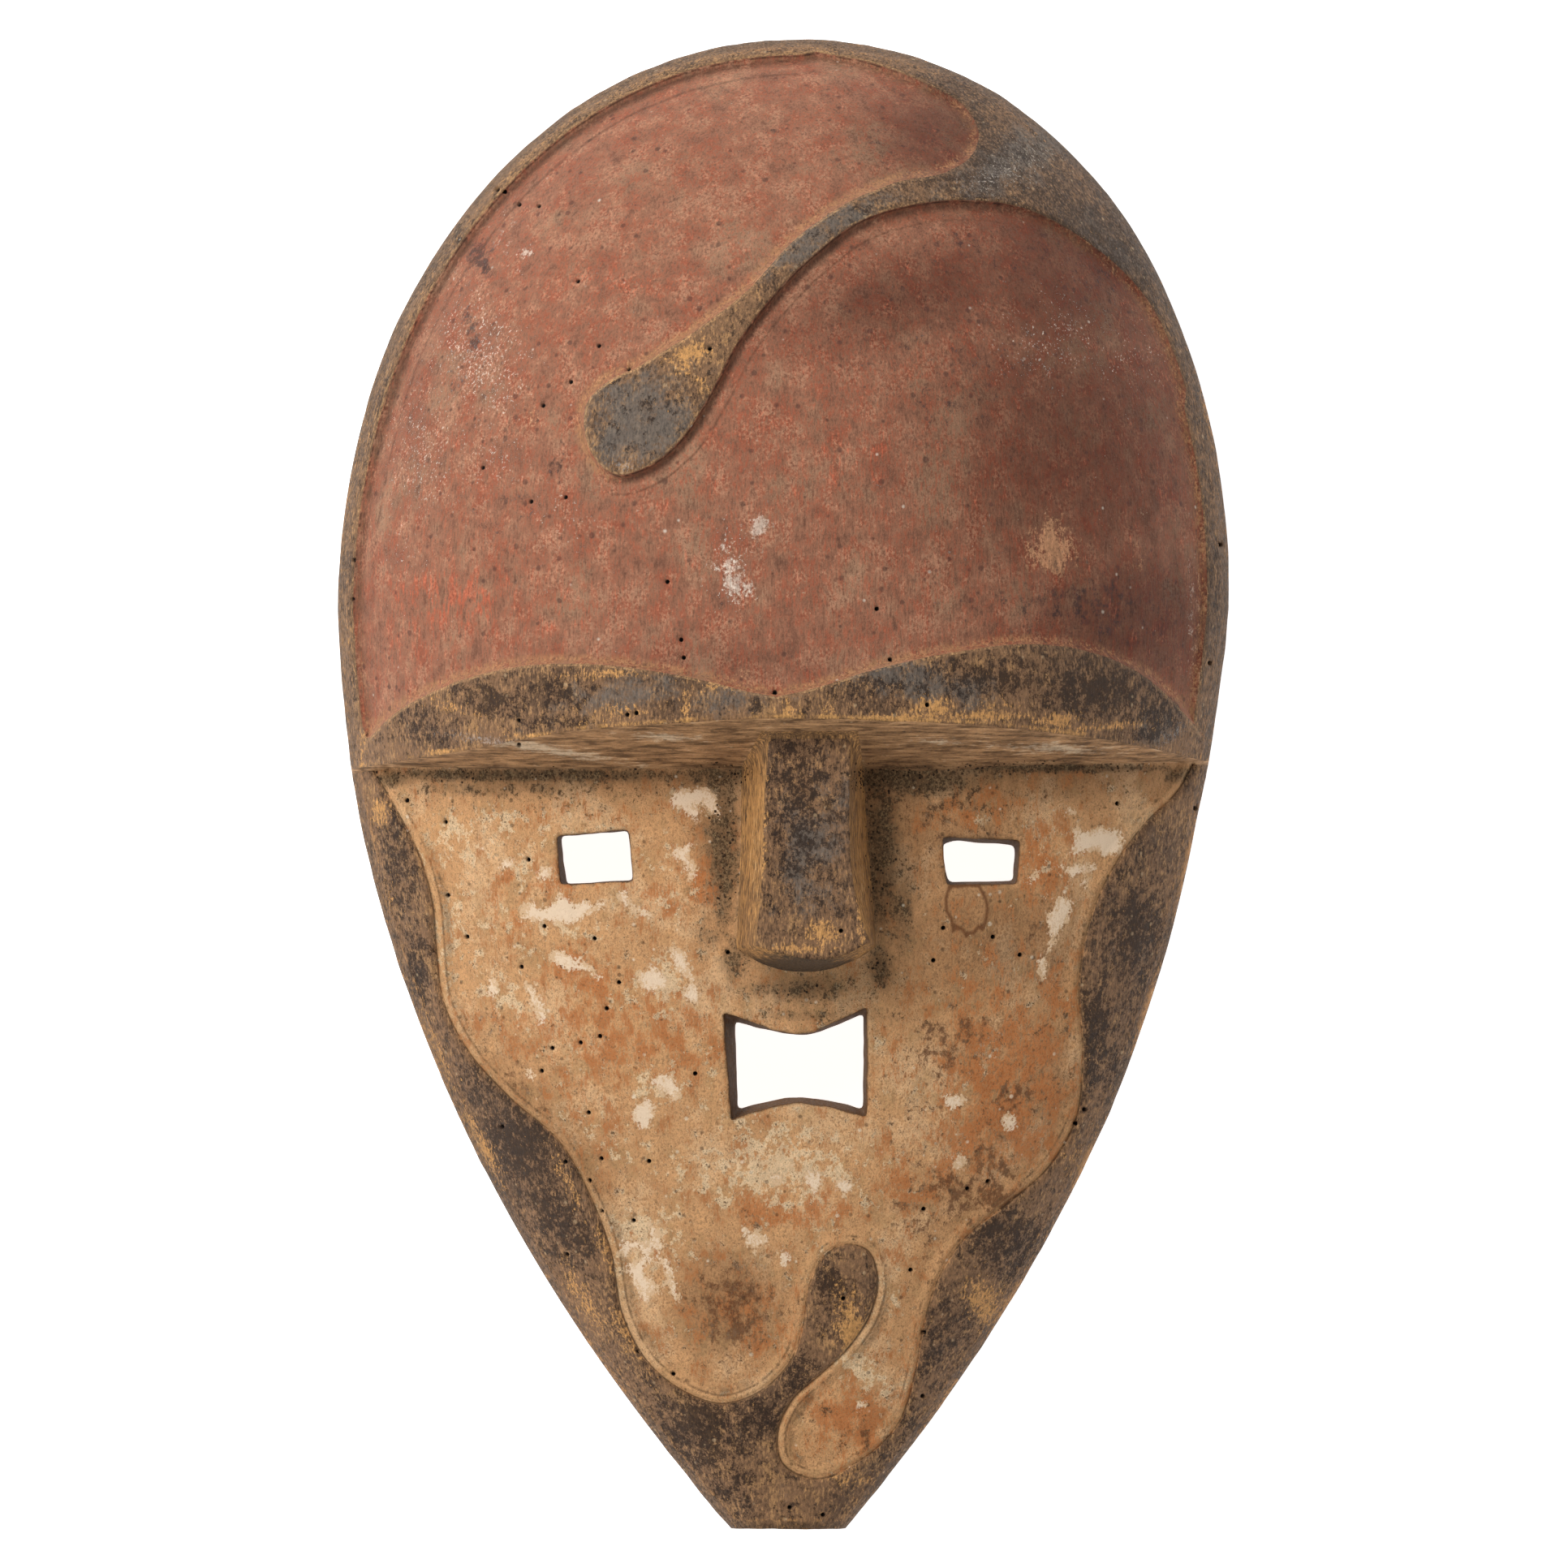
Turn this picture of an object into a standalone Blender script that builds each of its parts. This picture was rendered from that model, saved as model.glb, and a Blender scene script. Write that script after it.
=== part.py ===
"""A carved wooden mask of the Galwa kind, lying on its back rim.

Metres. +Z points out of the face, +Y to the crown and +X to the viewer's right. The origin is
the bottom centre of the mask's box. The carving is laid out on a plan seen from the front, in
shares of the mask's half width and half length, and each point of the plan is then raised to
its height. The block made that way is hollowed from behind and pierced at the eyes and mouth.
"""
import bmesh
import bpy
import numpy as np
from mathutils import Matrix
from mathutils.geometry import delaunay_2d_cdt

# Overall sizes
MASK_LENGTH = 0.360
MASK_WIDTH = 0.2155
CHIN_WIDTH = 0.0275

# Heights above the back rim
FOREHEAD_HEIGHT = 0.094
BROW_FLARE = 0.003
FACE_HEIGHT_TOP = 0.068
FACE_HEIGHT_CHIN = 0.034
NOSE_HEIGHT_TOP = 0.086
NOSE_HEIGHT_TIP = 0.085
CROWN_EDGE = 0.014
TEMPLE_EDGE = 0.024
JAW_EDGE = 0.026
CHIN_EDGE = 0.026
JAW_EDGE_PLACE = -0.3

# Thickness of the wood
WALL = 0.014
RIM_WIDTH = 0.011
CHIN_WALL = 0.018
RIM_LIP = 0.0015
HOLLOW_CHIN_SHARE = 0.25

# Low relief between the raised bands and the sunk fields
RELIEF_DEPTH = 0.0020
BEVEL_WIDTH = 0.0018
LEFT_BAND = 0.0038
RIGHT_BAND = 0.0053

# Spacing of the points along a carved line and over the plain wood
LINE_STEP = 0.004
GRID_STEP = 0.009
GRID_CLEARANCE = 0.45
HOLLOW_LINE_STEP = 0.006
HOLLOW_GRID_STEP = 0.0108
RIM_RUN_STEP = 0.0008
RIM_RUN_EASE = 5
SIDE_POINTS = 90
HOLLOW_SIDE_POINTS = 60
CURVE_POINTS = 12
SAME_PLACE = 1e-6
TINY = 1e-12

# How far the cutters run past the wood
HOLE_OVERRUN = 0.012
CUTTER_DEPTH = 0.010

# The plain colour and finish of the painted wood
PAINT_COLOUR = (0.20, 0.09, 0.06)
PAINT_ROUGHNESS = 0.8

HALF_WIDTH = MASK_WIDTH / 2
HALF_LENGTH = MASK_LENGTH / 2

# The outline: a round crown above the widest place, and a jaw that narrows to the chin
WIDEST = 0.235
CROWN_ROUND = 2.08
JAW_TAPER = 0.15
JAW_CURVE = 2.25
DRIFT_PLACES = (-1.0, -0.45, -0.05, 0.235, 0.60, 1.0)
DRIFT = (0.012, 0.0, -0.011, 0.0, 0.010, 0.036)

# How full the forms are: a higher power keeps them flat further out
FOREHEAD_POWER = 2.3
FOREHEAD_FALL = 0.75
FACE_POWER = 2.8
FACE_FALL = 0.75
FACE_DROP = 1.6
HOLLOW_POWER = 2.8
HOLLOW_FALL = 0.55
FLARE_REACH = 0.12
HOLLOW_STEP = 0.30

# Carved lines, as shares of the half width and half length from the plan's centre
BROW_TOP_LEFT = (
    (-0.933, 0.058), (-0.871, 0.093), (-0.774, 0.126), (-0.616, 0.154), (-0.426, 0.159),
    (-0.219, 0.143), (-0.049, 0.120), (-0.013, 0.116),
)
BROW_TOP_RIGHT = (
    (-0.013, 0.116), (0.042, 0.123), (0.224, 0.155), (0.386, 0.176), (0.546, 0.186),
    (0.696, 0.175), (0.831, 0.134), (0.907, 0.089), (0.953, 0.053),
)
SWEEP_LOWER = (
    (0.905, 0.529), (0.872, 0.586), (0.814, 0.653), (0.687, 0.725), (0.526, 0.774),
    (0.399, 0.782), (0.281, 0.774), (0.173, 0.753), (0.064, 0.705), (-0.027, 0.650),
    (-0.109, 0.584), (-0.168, 0.516), (-0.237, 0.455),
)
SWEEP_HEAD = ((-0.315, 0.421), (-0.370, 0.413), (-0.417, 0.432), (-0.444, 0.471), (-0.439, 0.507))
SWEEP_UPPER = (
    (-0.392, 0.537), (-0.326, 0.557), (-0.186, 0.609), (-0.078, 0.660), (0.027, 0.728),
    (0.142, 0.777), (0.257, 0.807), (0.370, 0.821), (0.426, 0.845), (0.439, 0.872),
    (0.410, 0.907), (0.319, 0.940), (0.200, 0.968), (0.075, 0.983),
)
CHEEK_LEFT = (
    (-0.920, 0.016), (-0.874, -0.030), (-0.814, -0.103), (-0.787, -0.165), (-0.780, -0.217),
    (-0.760, -0.299), (-0.707, -0.360), (-0.614, -0.422), (-0.503, -0.481), (-0.434, -0.554),
    (-0.390, -0.624), (-0.359, -0.718),
)
CHIN_LOBE_LEFT = (
    (-0.301, -0.780), (-0.231, -0.814), (-0.137, -0.833), (-0.044, -0.814), (0.020, -0.774),
)
CHIN_TONGUE = (
    (0.046, -0.730), (0.064, -0.668), (0.095, -0.634), (0.142, -0.619), (0.188, -0.627),
    (0.209, -0.659), (0.197, -0.705), (0.151, -0.751), (0.082, -0.791),
)
CHIN_LOBE_RIGHT = (
    (0.018, -0.827), (-0.015, -0.874), (-0.004, -0.912), (0.069, -0.934), (0.173, -0.910),
    (0.257, -0.863), (0.297, -0.795), (0.317, -0.728),
)
CHEEK_RIGHT = (
    (0.355, -0.659), (0.410, -0.610), (0.506, -0.564), (0.599, -0.514), (0.658, -0.452),
    (0.674, -0.381), (0.667, -0.256), (0.687, -0.190), (0.741, -0.114), (0.812, -0.055),
    (0.887, -0.010), (0.925, 0.030),
)
BROW_EDGE = (
    (-1.020, 0.013), (-0.931, 0.023), (-0.723, 0.043), (-0.454, 0.071), (-0.209, 0.082),
    (-0.002, 0.087), (0.224, 0.084), (0.494, 0.075), (0.763, 0.054), (0.949, 0.030),
    (1.020, 0.020),
)
BROW_MIDDLE = 0.087
BROW_FOOT = (
    (-1.020, 0.007), (-0.931, 0.017), (-0.588, 0.019), (-0.118, 0.020), (0.177, 0.020),
    (0.291, 0.017), (0.561, 0.024), (0.763, 0.027), (0.949, 0.024), (1.020, 0.014),
)
NOSE_CREST = (
    ((0.151, 0.060), (-0.031, 0.060)),
    ((-0.031, 0.060), (-0.044, -0.057), (-0.051, -0.147), (-0.062, -0.217)),
    ((-0.062, -0.217), (-0.004, -0.227), (0.077, -0.235), (0.135, -0.229), (0.191, -0.212)),
    ((0.191, -0.212), (0.158, -0.136), (0.148, -0.057), (0.151, 0.060)),
)
NOSE_FOOT = (
    ((0.168, 0.070), (-0.049, 0.070)),
    ((-0.049, 0.070), (-0.093, 0.022)),
    ((-0.093, 0.022), (-0.095, -0.082), (-0.100, -0.157), (-0.107, -0.221)),
    ((-0.107, -0.221), (-0.053, -0.240), (0.044, -0.252), (0.164, -0.236), (0.209, -0.219)),
    ((0.209, -0.219), (0.202, -0.147), (0.191, -0.082), (0.180, 0.022)),
    ((0.180, 0.022), (0.168, 0.070)),
)
NOSE_TOP = 0.060
NOSE_TIP = -0.235

# Holes: the opening in the face and the smaller opening inside, corner by corner
EYE_LEFT = (
    ((-0.508, -0.070), (-0.346, -0.062), (-0.335, -0.131), (-0.499, -0.136)),
    ((-0.495, -0.071), (-0.346, -0.064), (-0.337, -0.129), (-0.483, -0.134)),
)
EYE_RIGHT = (
    ((0.355, -0.072), (0.534, -0.077), (0.525, -0.135), (0.366, -0.134)),
    ((0.361, -0.080), (0.517, -0.084), (0.515, -0.129), (0.372, -0.131)),
)
MOUTH = (
    ((-0.135, -0.306), (0.036, -0.335), (0.190, -0.300), (0.188, -0.447), (0.033, -0.427),
     (-0.117, -0.453)),
    ((-0.106, -0.320), (0.047, -0.338), (0.180, -0.312), (0.177, -0.435), (0.044, -0.419),
     (-0.100, -0.435)),
)


def place(shares):
    """Turn shares of the half width and half length into metres."""
    return np.array(shares, dtype=float) * (HALF_WIDTH, HALF_LENGTH)


def resample(line, step):
    """Space the points of an open line evenly, about one step apart."""
    gaps = np.hypot(*np.diff(line, axis=0).T)
    along = np.concatenate([[0.0], np.cumsum(gaps)])
    count = max(2, int(round(along[-1] / step)) + 1)
    wanted = np.linspace(0.0, along[-1], count)
    return np.column_stack([np.interp(wanted, along, line[:, axis]) for axis in (0, 1)])


def smooth(control, step):
    """Draw a smooth line through control points and space its points evenly."""
    control = np.array(control, dtype=float)
    if len(control) == 2:
        return resample(control, step)
    along = np.concatenate([[0.0], np.cumsum(np.hypot(*np.diff(control, axis=0).T))])
    slope = np.gradient(control, along, axis=0)
    pieces = []
    for i in range(len(control) - 1):
        span = along[i + 1] - along[i]
        t = np.linspace(0.0, 1.0, CURVE_POINTS, endpoint=False)[:, None]
        pieces.append(
            (2 * t**3 - 3 * t**2 + 1) * control[i]
            + (t**3 - 2 * t**2 + t) * span * slope[i]
            + (3 * t**2 - 2 * t**3) * control[i + 1]
            + (t**3 - t**2) * span * slope[i + 1]
        )
    pieces.append(control[-1:])
    return resample(np.vstack(pieces), step)


def join(lines):
    """Join lines end to end into one closed loop, with a corner at each joint."""
    return np.vstack([line[:-1] for line in lines])


def closed(loop):
    """The same loop with its first point repeated at the end."""
    return np.vstack([loop, loop[:1]])


def distance_to(points, line):
    """Distance from each point to the nearest place on an open line."""
    start, run = line[:-1], np.diff(line, axis=0)
    length = np.maximum((run**2).sum(axis=1), TINY)
    offset = points[:, None, :] - start[None]
    share = np.clip((offset * run[None]).sum(axis=2) / length[None], 0.0, 1.0)
    return np.sqrt(((offset - share[..., None] * run[None]) ** 2).sum(axis=2)).min(axis=1)


def inside(points, loop):
    """True for each point that lies inside a closed loop."""
    x, y = points[:, 0][:, None], points[:, 1][:, None]
    x1, y1 = loop.T
    x2, y2 = np.roll(loop, -1, axis=0).T
    rise = np.where(y2 == y1, TINY, y2 - y1)
    crossing = ((y1 > y) != (y2 > y)) & (x < (x2 - x1) * (y - y1) / rise + x1)
    return crossing.sum(axis=1) % 2 == 1


def inset(line, width):
    """Move a line to its left by a width, which is inward on a line drawn anticlockwise."""
    way = np.gradient(line, axis=0)
    way /= np.hypot(*way.T)[:, None]
    return line + width * np.column_stack([-way[:, 1], way[:, 0]])


def inset_loop(loop, width):
    """Move a closed anticlockwise loop inward."""
    ahead = np.roll(loop, -1, axis=0) - loop
    ahead /= np.hypot(*ahead.T)[:, None]
    way = ahead + np.roll(ahead, 1, axis=0)
    way /= np.hypot(*way.T)[:, None]
    return loop + width * np.column_stack([-way[:, 1], way[:, 0]])


def half_width(v):
    """Half width of the outline at a share of the half length."""
    above = np.clip((v - WIDEST) / (1 - WIDEST), 0, 1)
    below = np.clip((WIDEST - v) / (1 + WIDEST), 0, 1)
    crown = (1 - above**CROWN_ROUND) ** (1 / CROWN_ROUND)
    narrowing = 1 - JAW_TAPER - CHIN_WIDTH / MASK_WIDTH
    jaw = 1 - JAW_TAPER * below - narrowing * below**JAW_CURVE
    return HALF_WIDTH * crown * jaw


def drift(v):
    """Sideways lean of the mask's middle line."""
    return HALF_WIDTH * np.interp(v, DRIFT_PLACES, DRIFT)


def side_line():
    """The outline from the chin's right corner over the crown to its left corner."""
    turn = np.linspace(0, np.pi / 2, SIDE_POINTS)
    crown = WIDEST + (1 - WIDEST) * np.sin(turn) ** (2 / CROWN_ROUND)
    v = np.concatenate([np.linspace(-1, WIDEST, SIDE_POINTS, endpoint=False), crown])
    y = v * HALF_LENGTH
    right = np.column_stack([drift(v) + half_width(v), y])
    left = np.column_stack([drift(v) - half_width(v), y])
    return np.vstack([right, left[-2::-1]])


def outline(step):
    """The whole outline as a loop, with the chin cut off straight."""
    side = resample(side_line(), step)
    chin = resample(np.vstack([side[-1], side[0]]), step)
    return join([side, chin])


def rim_run(start, end, width):
    """The outline between the places nearest two points, moved inward by a width."""
    side = inset(resample(side_line(), RIM_RUN_STEP), width)
    first, last = (np.hypot(*(side - corner).T).argmin() for corner in (start, end))
    if first < last:
        return side[first:last + 1]
    return side[last:first + 1][::-1]


def forehead_field():
    """Loop round the sunk red field, which winds about the raised sweep."""
    sweep = smooth(place(SWEEP_LOWER + SWEEP_HEAD + SWEEP_UPPER), LINE_STEP)
    brow_left = smooth(place(BROW_TOP_LEFT), LINE_STEP)
    brow_right = smooth(place(BROW_TOP_RIGHT), LINE_STEP)
    right = rim_run(brow_right[-1], sweep[0], RIGHT_BAND)
    left = rim_run(sweep[-1], brow_left[0], LEFT_BAND)
    right = np.vstack([brow_right[-1], right[RIM_RUN_EASE:-RIM_RUN_EASE], sweep[0]])
    left = np.vstack([sweep[-1], left[RIM_RUN_EASE:-RIM_RUN_EASE], brow_left[0]])
    sides = [brow_left, brow_right, resample(right, LINE_STEP), sweep, resample(left, LINE_STEP)]
    return join(sides)


def face_line():
    """The carved line round the sunk face field, from the left temple to the right one."""
    strokes = CHEEK_LEFT + CHIN_LOBE_LEFT + CHIN_TONGUE + CHIN_LOBE_RIGHT + CHEEK_RIGHT
    return smooth(place(strokes), LINE_STEP)


def face_field(line):
    """The face line closed above the brow's foot, where the brow hides the field."""
    hidden = 2 * BROW_MIDDLE * HALF_LENGTH
    return np.vstack([line, (line[-1][0], hidden), (line[0][0], hidden)])


FOREHEAD_FIELD = forehead_field()
FACE_LINE = face_line()
FACE_FIELD = face_field(FACE_LINE)
BROW_EDGE_LINE = smooth(place(BROW_EDGE), LINE_STEP)
BROW_FOOT_LINE = smooth(place(BROW_FOOT), LINE_STEP)
NOSE_CREST_LOOP = join([smooth(place(side), LINE_STEP) for side in NOSE_CREST])
NOSE_FOOT_LOOP = join([smooth(place(side), LINE_STEP) for side in NOSE_FOOT])


def sunk(points, field):
    """Depth of a sunk field below the bands, with a bevel along its edge."""
    depth = np.clip(distance_to(points, closed(field)) / BEVEL_WIDTH, 0, 1)
    return RELIEF_DEPTH * np.where(inside(points, field), depth, 0.0)


def edge_height(v):
    """Height of the mask's outer edge above the back rim."""
    edges = (CHIN_EDGE, JAW_EDGE, TEMPLE_EDGE, CROWN_EDGE)
    return np.interp(v, (-1.0, JAW_EDGE_PLACE, WIDEST, 1.0), edges)


def forehead_height(x, y):
    """A dome over the forehead that flares a little towards the brow."""
    v = y / HALF_LENGTH
    across = np.abs(x - drift(v)) / np.where(v > WIDEST, HALF_WIDTH, half_width(v))
    up = np.clip((v - WIDEST) / (1 - WIDEST), 0, 1)
    reach = np.clip((across**CROWN_ROUND + up**CROWN_ROUND) ** (1 / CROWN_ROUND), 0, 1)
    fullness = (1 - reach**FOREHEAD_POWER) ** FOREHEAD_FALL
    flare = BROW_FLARE * np.exp(-((v - BROW_MIDDLE) / FLARE_REACH) ** 2) * fullness
    edge = edge_height(v)
    return edge + (FOREHEAD_HEIGHT - edge) * fullness + flare


def face_height(x, y):
    """The face: nearly flat in the middle, rounded to the cheeks and falling to the chin."""
    v = y / HALF_LENGTH
    across = np.clip(np.abs(x - drift(v)) / half_width(v), 0, 1)
    middle = FACE_HEIGHT_CHIN + (FACE_HEIGHT_TOP - FACE_HEIGHT_CHIN) * (
        1 - np.clip(-v, 0, 1) ** FACE_DROP)
    edge = edge_height(v)
    return edge + (middle - edge) * (1 - across**FACE_POWER) ** FACE_FALL


def ground_height(points):
    """The front surface without the nose: forehead, slope under the brow, and face."""
    x, y = points.T
    top = np.interp(x, *BROW_EDGE_LINE.T)
    foot = np.interp(x, *BROW_FOOT_LINE.T)
    at_foot = np.column_stack([x, foot])
    forehead = forehead_height(x, y) - sunk(points, FOREHEAD_FIELD)
    face = face_height(x, y) - sunk(points, FACE_FIELD)
    crest = forehead_height(x, top)
    base = face_height(x, foot) - sunk(at_foot, FACE_FIELD)
    share = np.clip((top - y) / (top - foot), 0, 1)
    slope = crest + (base - crest) * share
    return np.where(y >= top, forehead, np.where(y <= foot, face, slope))


def front_height(points):
    """The whole front surface. The nose falls from its crest to its foot."""
    ground = ground_height(points)
    v = points[:, 1] / HALF_LENGTH
    down = np.clip((NOSE_TOP - v) / (NOSE_TOP - NOSE_TIP), 0, 1)
    ridge = NOSE_HEIGHT_TOP + (NOSE_HEIGHT_TIP - NOSE_HEIGHT_TOP) * down
    to_crest = distance_to(points, closed(NOSE_CREST_LOOP))
    to_foot = distance_to(points, closed(NOSE_FOOT_LOOP))
    share = to_crest / np.maximum(to_crest + to_foot, TINY)
    share = np.where(inside(points, NOSE_CREST_LOOP), 0.0, share)
    on_nose = inside(points, NOSE_FOOT_LOOP)
    return np.where(on_nose, ridge + (ground - ridge) * share, ground)


def hollow_height(points):
    """The inside of the mask: a deep bowl behind the forehead, a shallower one below it."""
    v = points[:, 1] / HALF_LENGTH
    rim = HALF_WIDTH - RIM_WIDTH
    across = np.abs(points[:, 0] - drift(v)) / np.where(v > WIDEST, rim, hollow_half_width(v))
    top = 1 - RIM_WIDTH / HALF_LENGTH
    up = np.clip((v - WIDEST) / (top - WIDEST), 0, 1)
    reach = np.clip((across**CROWN_ROUND + up**CROWN_ROUND) ** (1 / CROWN_ROUND), 0, 1)
    step = np.clip(v / HOLLOW_STEP, 0, 1)
    step = step**2 * (3 - 2 * step)
    down = np.clip(-v / (1 - CHIN_WALL / HALF_LENGTH), 0, 1)
    face = (FACE_HEIGHT_CHIN + (FACE_HEIGHT_TOP - FACE_HEIGHT_CHIN) * (1 - down**FACE_DROP)
            - WALL)
    middle = face + (FOREHEAD_HEIGHT - WALL - face) * step
    return RIM_LIP + (middle - RIM_LIP) * (1 - reach**HOLLOW_POWER) ** HOLLOW_FALL


def hollow_half_width(v):
    """Half width of the hollow's mouth at a share of the half length."""
    top, bottom = 1 - RIM_WIDTH / HALF_LENGTH, -1 + CHIN_WALL / HALF_LENGTH
    above = np.clip((v - WIDEST) / (top - WIDEST), 0, 1)
    crown = (HALF_WIDTH - RIM_WIDTH) * (1 - above**CROWN_ROUND) ** (1 / CROWN_ROUND)
    least = CHIN_WIDTH * HOLLOW_CHIN_SHARE
    jaw = np.maximum(half_width(np.maximum(v, bottom)) - RIM_WIDTH, least)
    return np.where(v > WIDEST, crown, jaw)


def hollow_outline():
    """Loop round the hollow's mouth on the back of the mask."""
    top, bottom = 1 - RIM_WIDTH / HALF_LENGTH, -1 + CHIN_WALL / HALF_LENGTH
    turn = np.linspace(0, np.pi / 2, HOLLOW_SIDE_POINTS)
    crown = WIDEST + (top - WIDEST) * np.sin(turn) ** (2 / CROWN_ROUND)
    v = np.concatenate([np.linspace(bottom, WIDEST, HOLLOW_SIDE_POINTS, endpoint=False), crown])
    right = np.column_stack([drift(v) + hollow_half_width(v), v * HALF_LENGTH])
    left = np.column_stack([drift(v) - hollow_half_width(v), v * HALF_LENGTH])[-2::-1]
    side = resample(np.vstack([right, left]), HOLLOW_LINE_STEP)
    return join([side, np.vstack([side[-1], side[0]])])


def plan_mesh(border, lines, grid_step):
    """Triangles over the plan inside a border, with an edge along every carved line."""
    points, edges = [], []
    for line, is_loop in [(border, True)] + lines:
        first = len(points)
        points.extend(map(tuple, line))
        edges.extend((first + i, first + i + 1) for i in range(len(line) - 1))
        if is_loop:
            edges.append((first + len(line) - 1, first))
    low, high = border.min(axis=0), border.max(axis=0)
    rows = np.arange(low[1], high[1], grid_step * np.sqrt(3) / 2)
    grid = np.array([
        (x + (row % 2) * grid_step / 2, y)
        for row, y in enumerate(rows)
        for x in np.arange(low[0], high[0], grid_step)
    ])
    keep = inside(grid, border)
    for line, is_loop in [(border, True)] + lines:
        whole = closed(line) if is_loop else line
        keep &= distance_to(grid, whole) > grid_step * GRID_CLEARANCE
    points.extend(map(tuple, grid[keep]))
    found = delaunay_2d_cdt(points, edges, [], 1, SAME_PLACE, False)
    plan = np.array([tuple(point) for point in found[0]])
    middles = np.array([plan[face].mean(axis=0) for face in found[2]])
    return plan, [face for face, within in zip(found[2], inside(middles, border)) if within]


def solid_under(name, plan, faces, heights, floor):
    """Close the surface over a plan down to a flat floor."""
    bm = bmesh.new()
    verts = [bm.verts.new((x, y, z)) for (x, y), z in zip(plan, heights)]
    for face in faces:
        bm.faces.new([verts[i] for i in face])
    loose = [vert for vert in bm.verts if not vert.link_faces]
    bmesh.ops.delete(bm, geom=loose, context='VERTS')
    rim = [edge for edge in bm.edges if edge.is_boundary]
    low = {vert: bm.verts.new((vert.co.x, vert.co.y, floor)) for edge in rim for vert in edge.verts}
    for edge in rim:
        a = edge.link_loops[0].vert
        b = edge.other_vert(a)
        bm.faces.new((b, a, low[a], low[b]))
    bmesh.ops.holes_fill(bm, edges=[edge for edge in bm.edges if edge.is_boundary], sides=0)
    bmesh.ops.recalc_face_normals(bm, faces=bm.faces)
    return new_object(name, bm)


def new_object(name, bm):
    """Make an object of a bmesh and free the bmesh."""
    mesh = bpy.data.meshes.new(name)
    bm.to_mesh(mesh)
    bm.free()
    return bpy.data.objects.new(name, mesh)


def make_block():
    """The uncut mask: its whole carved front, closed flat along the back rim."""
    sunk_foot = inset_loop(FOREHEAD_FIELD, BEVEL_WIDTH)
    face_foot = inset(FACE_LINE, BEVEL_WIDTH)[1:-1]
    lines = [
        (FOREHEAD_FIELD, True), (sunk_foot, True), (FACE_LINE, False), (face_foot, False),
        (BROW_EDGE_LINE, False), (BROW_FOOT_LINE, False),
        (NOSE_CREST_LOOP, True), (NOSE_FOOT_LOOP, True),
    ]
    plan, faces = plan_mesh(outline(LINE_STEP), lines, GRID_STEP)
    return solid_under("mask", plan, faces, front_height(plan), 0.0)


def make_hollow():
    """The cutter that hollows the mask from behind."""
    plan, faces = plan_mesh(hollow_outline(), [], HOLLOW_GRID_STEP)
    return solid_under("hollow_cutter", plan, faces, hollow_height(plan), -CUTTER_DEPTH)


def make_hole(name, openings):
    """A cutter lofted through the opening in the face and the smaller one inside."""
    front, back = (place(opening) for opening in openings)
    centre = front.mean(axis=0, keepdims=True)
    high, low = face_height(*centre.T)[0] - RELIEF_DEPTH, hollow_height(centre)[0]
    spread = (front - back) * HOLE_OVERRUN / (high - low)
    sections = ((back - spread, low - HOLE_OVERRUN), (front + spread, high + HOLE_OVERRUN))
    bm = bmesh.new()
    rings = [[bm.verts.new((x, y, z)) for x, y in loop] for loop, z in sections]
    ends = [bm.faces.new(ring) for ring in rings]
    edges = [edge for end in ends for edge in end.edges]
    bmesh.ops.bridge_loops(bm, edges=edges)
    bmesh.ops.recalc_face_normals(bm, faces=bm.faces)
    return new_object(name, bm)


def wood(name, colour, roughness):
    """Painted wood, plain here."""
    material = bpy.data.materials.new(name)
    material.use_nodes = True
    shader = material.node_tree.nodes["Principled BSDF"]
    shader.inputs["Base Color"].default_value = (*colour, 1)
    shader.inputs["Roughness"].default_value = roughness
    shader.inputs["Metallic"].default_value = 0
    return material


def main():
    for old in list(bpy.data.objects):
        bpy.data.objects.remove(old, do_unlink=True)
    parts = bpy.data.collections.new("galwa_mask")
    cutters = bpy.data.collections.new("cutters")
    for collection in (parts, cutters):
        bpy.context.scene.collection.children.link(collection)

    mask = make_block()
    mask.data.materials.append(wood("painted_wood", PAINT_COLOUR, PAINT_ROUGHNESS))
    parts.objects.link(mask)
    tools = [
        make_hollow(),
        make_hole("eye_left_cutter", EYE_LEFT),
        make_hole("eye_right_cutter", EYE_RIGHT),
        make_hole("mouth_cutter", MOUTH),
    ]
    corners = np.array([vert.co for vert in mask.data.vertices])
    middle = (corners.min(axis=0) + corners.max(axis=0)) / 2
    to_centre = Matrix.Translation((-middle[0], -middle[1], 0))
    for piece in [mask] + tools:
        piece.data.transform(to_centre)
    for tool in tools:
        cutters.objects.link(tool)
        tool.hide_render = True
        tool.display_type = 'WIRE'
        cut = mask.modifiers.new(tool.name, 'BOOLEAN')
        cut.operation = 'DIFFERENCE'
        cut.object = tool


main()
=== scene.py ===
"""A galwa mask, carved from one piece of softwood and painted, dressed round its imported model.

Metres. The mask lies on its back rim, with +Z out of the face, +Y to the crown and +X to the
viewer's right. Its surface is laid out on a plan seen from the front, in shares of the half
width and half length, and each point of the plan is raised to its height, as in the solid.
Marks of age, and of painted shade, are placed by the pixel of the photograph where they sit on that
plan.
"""
import math
from collections import namedtuple

import bmesh
import bpy
import numpy as np
from mathutils import Matrix, Vector, noise
from mathutils.geometry import delaunay_2d_cdt
from mathutils.kdtree import KDTree


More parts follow.
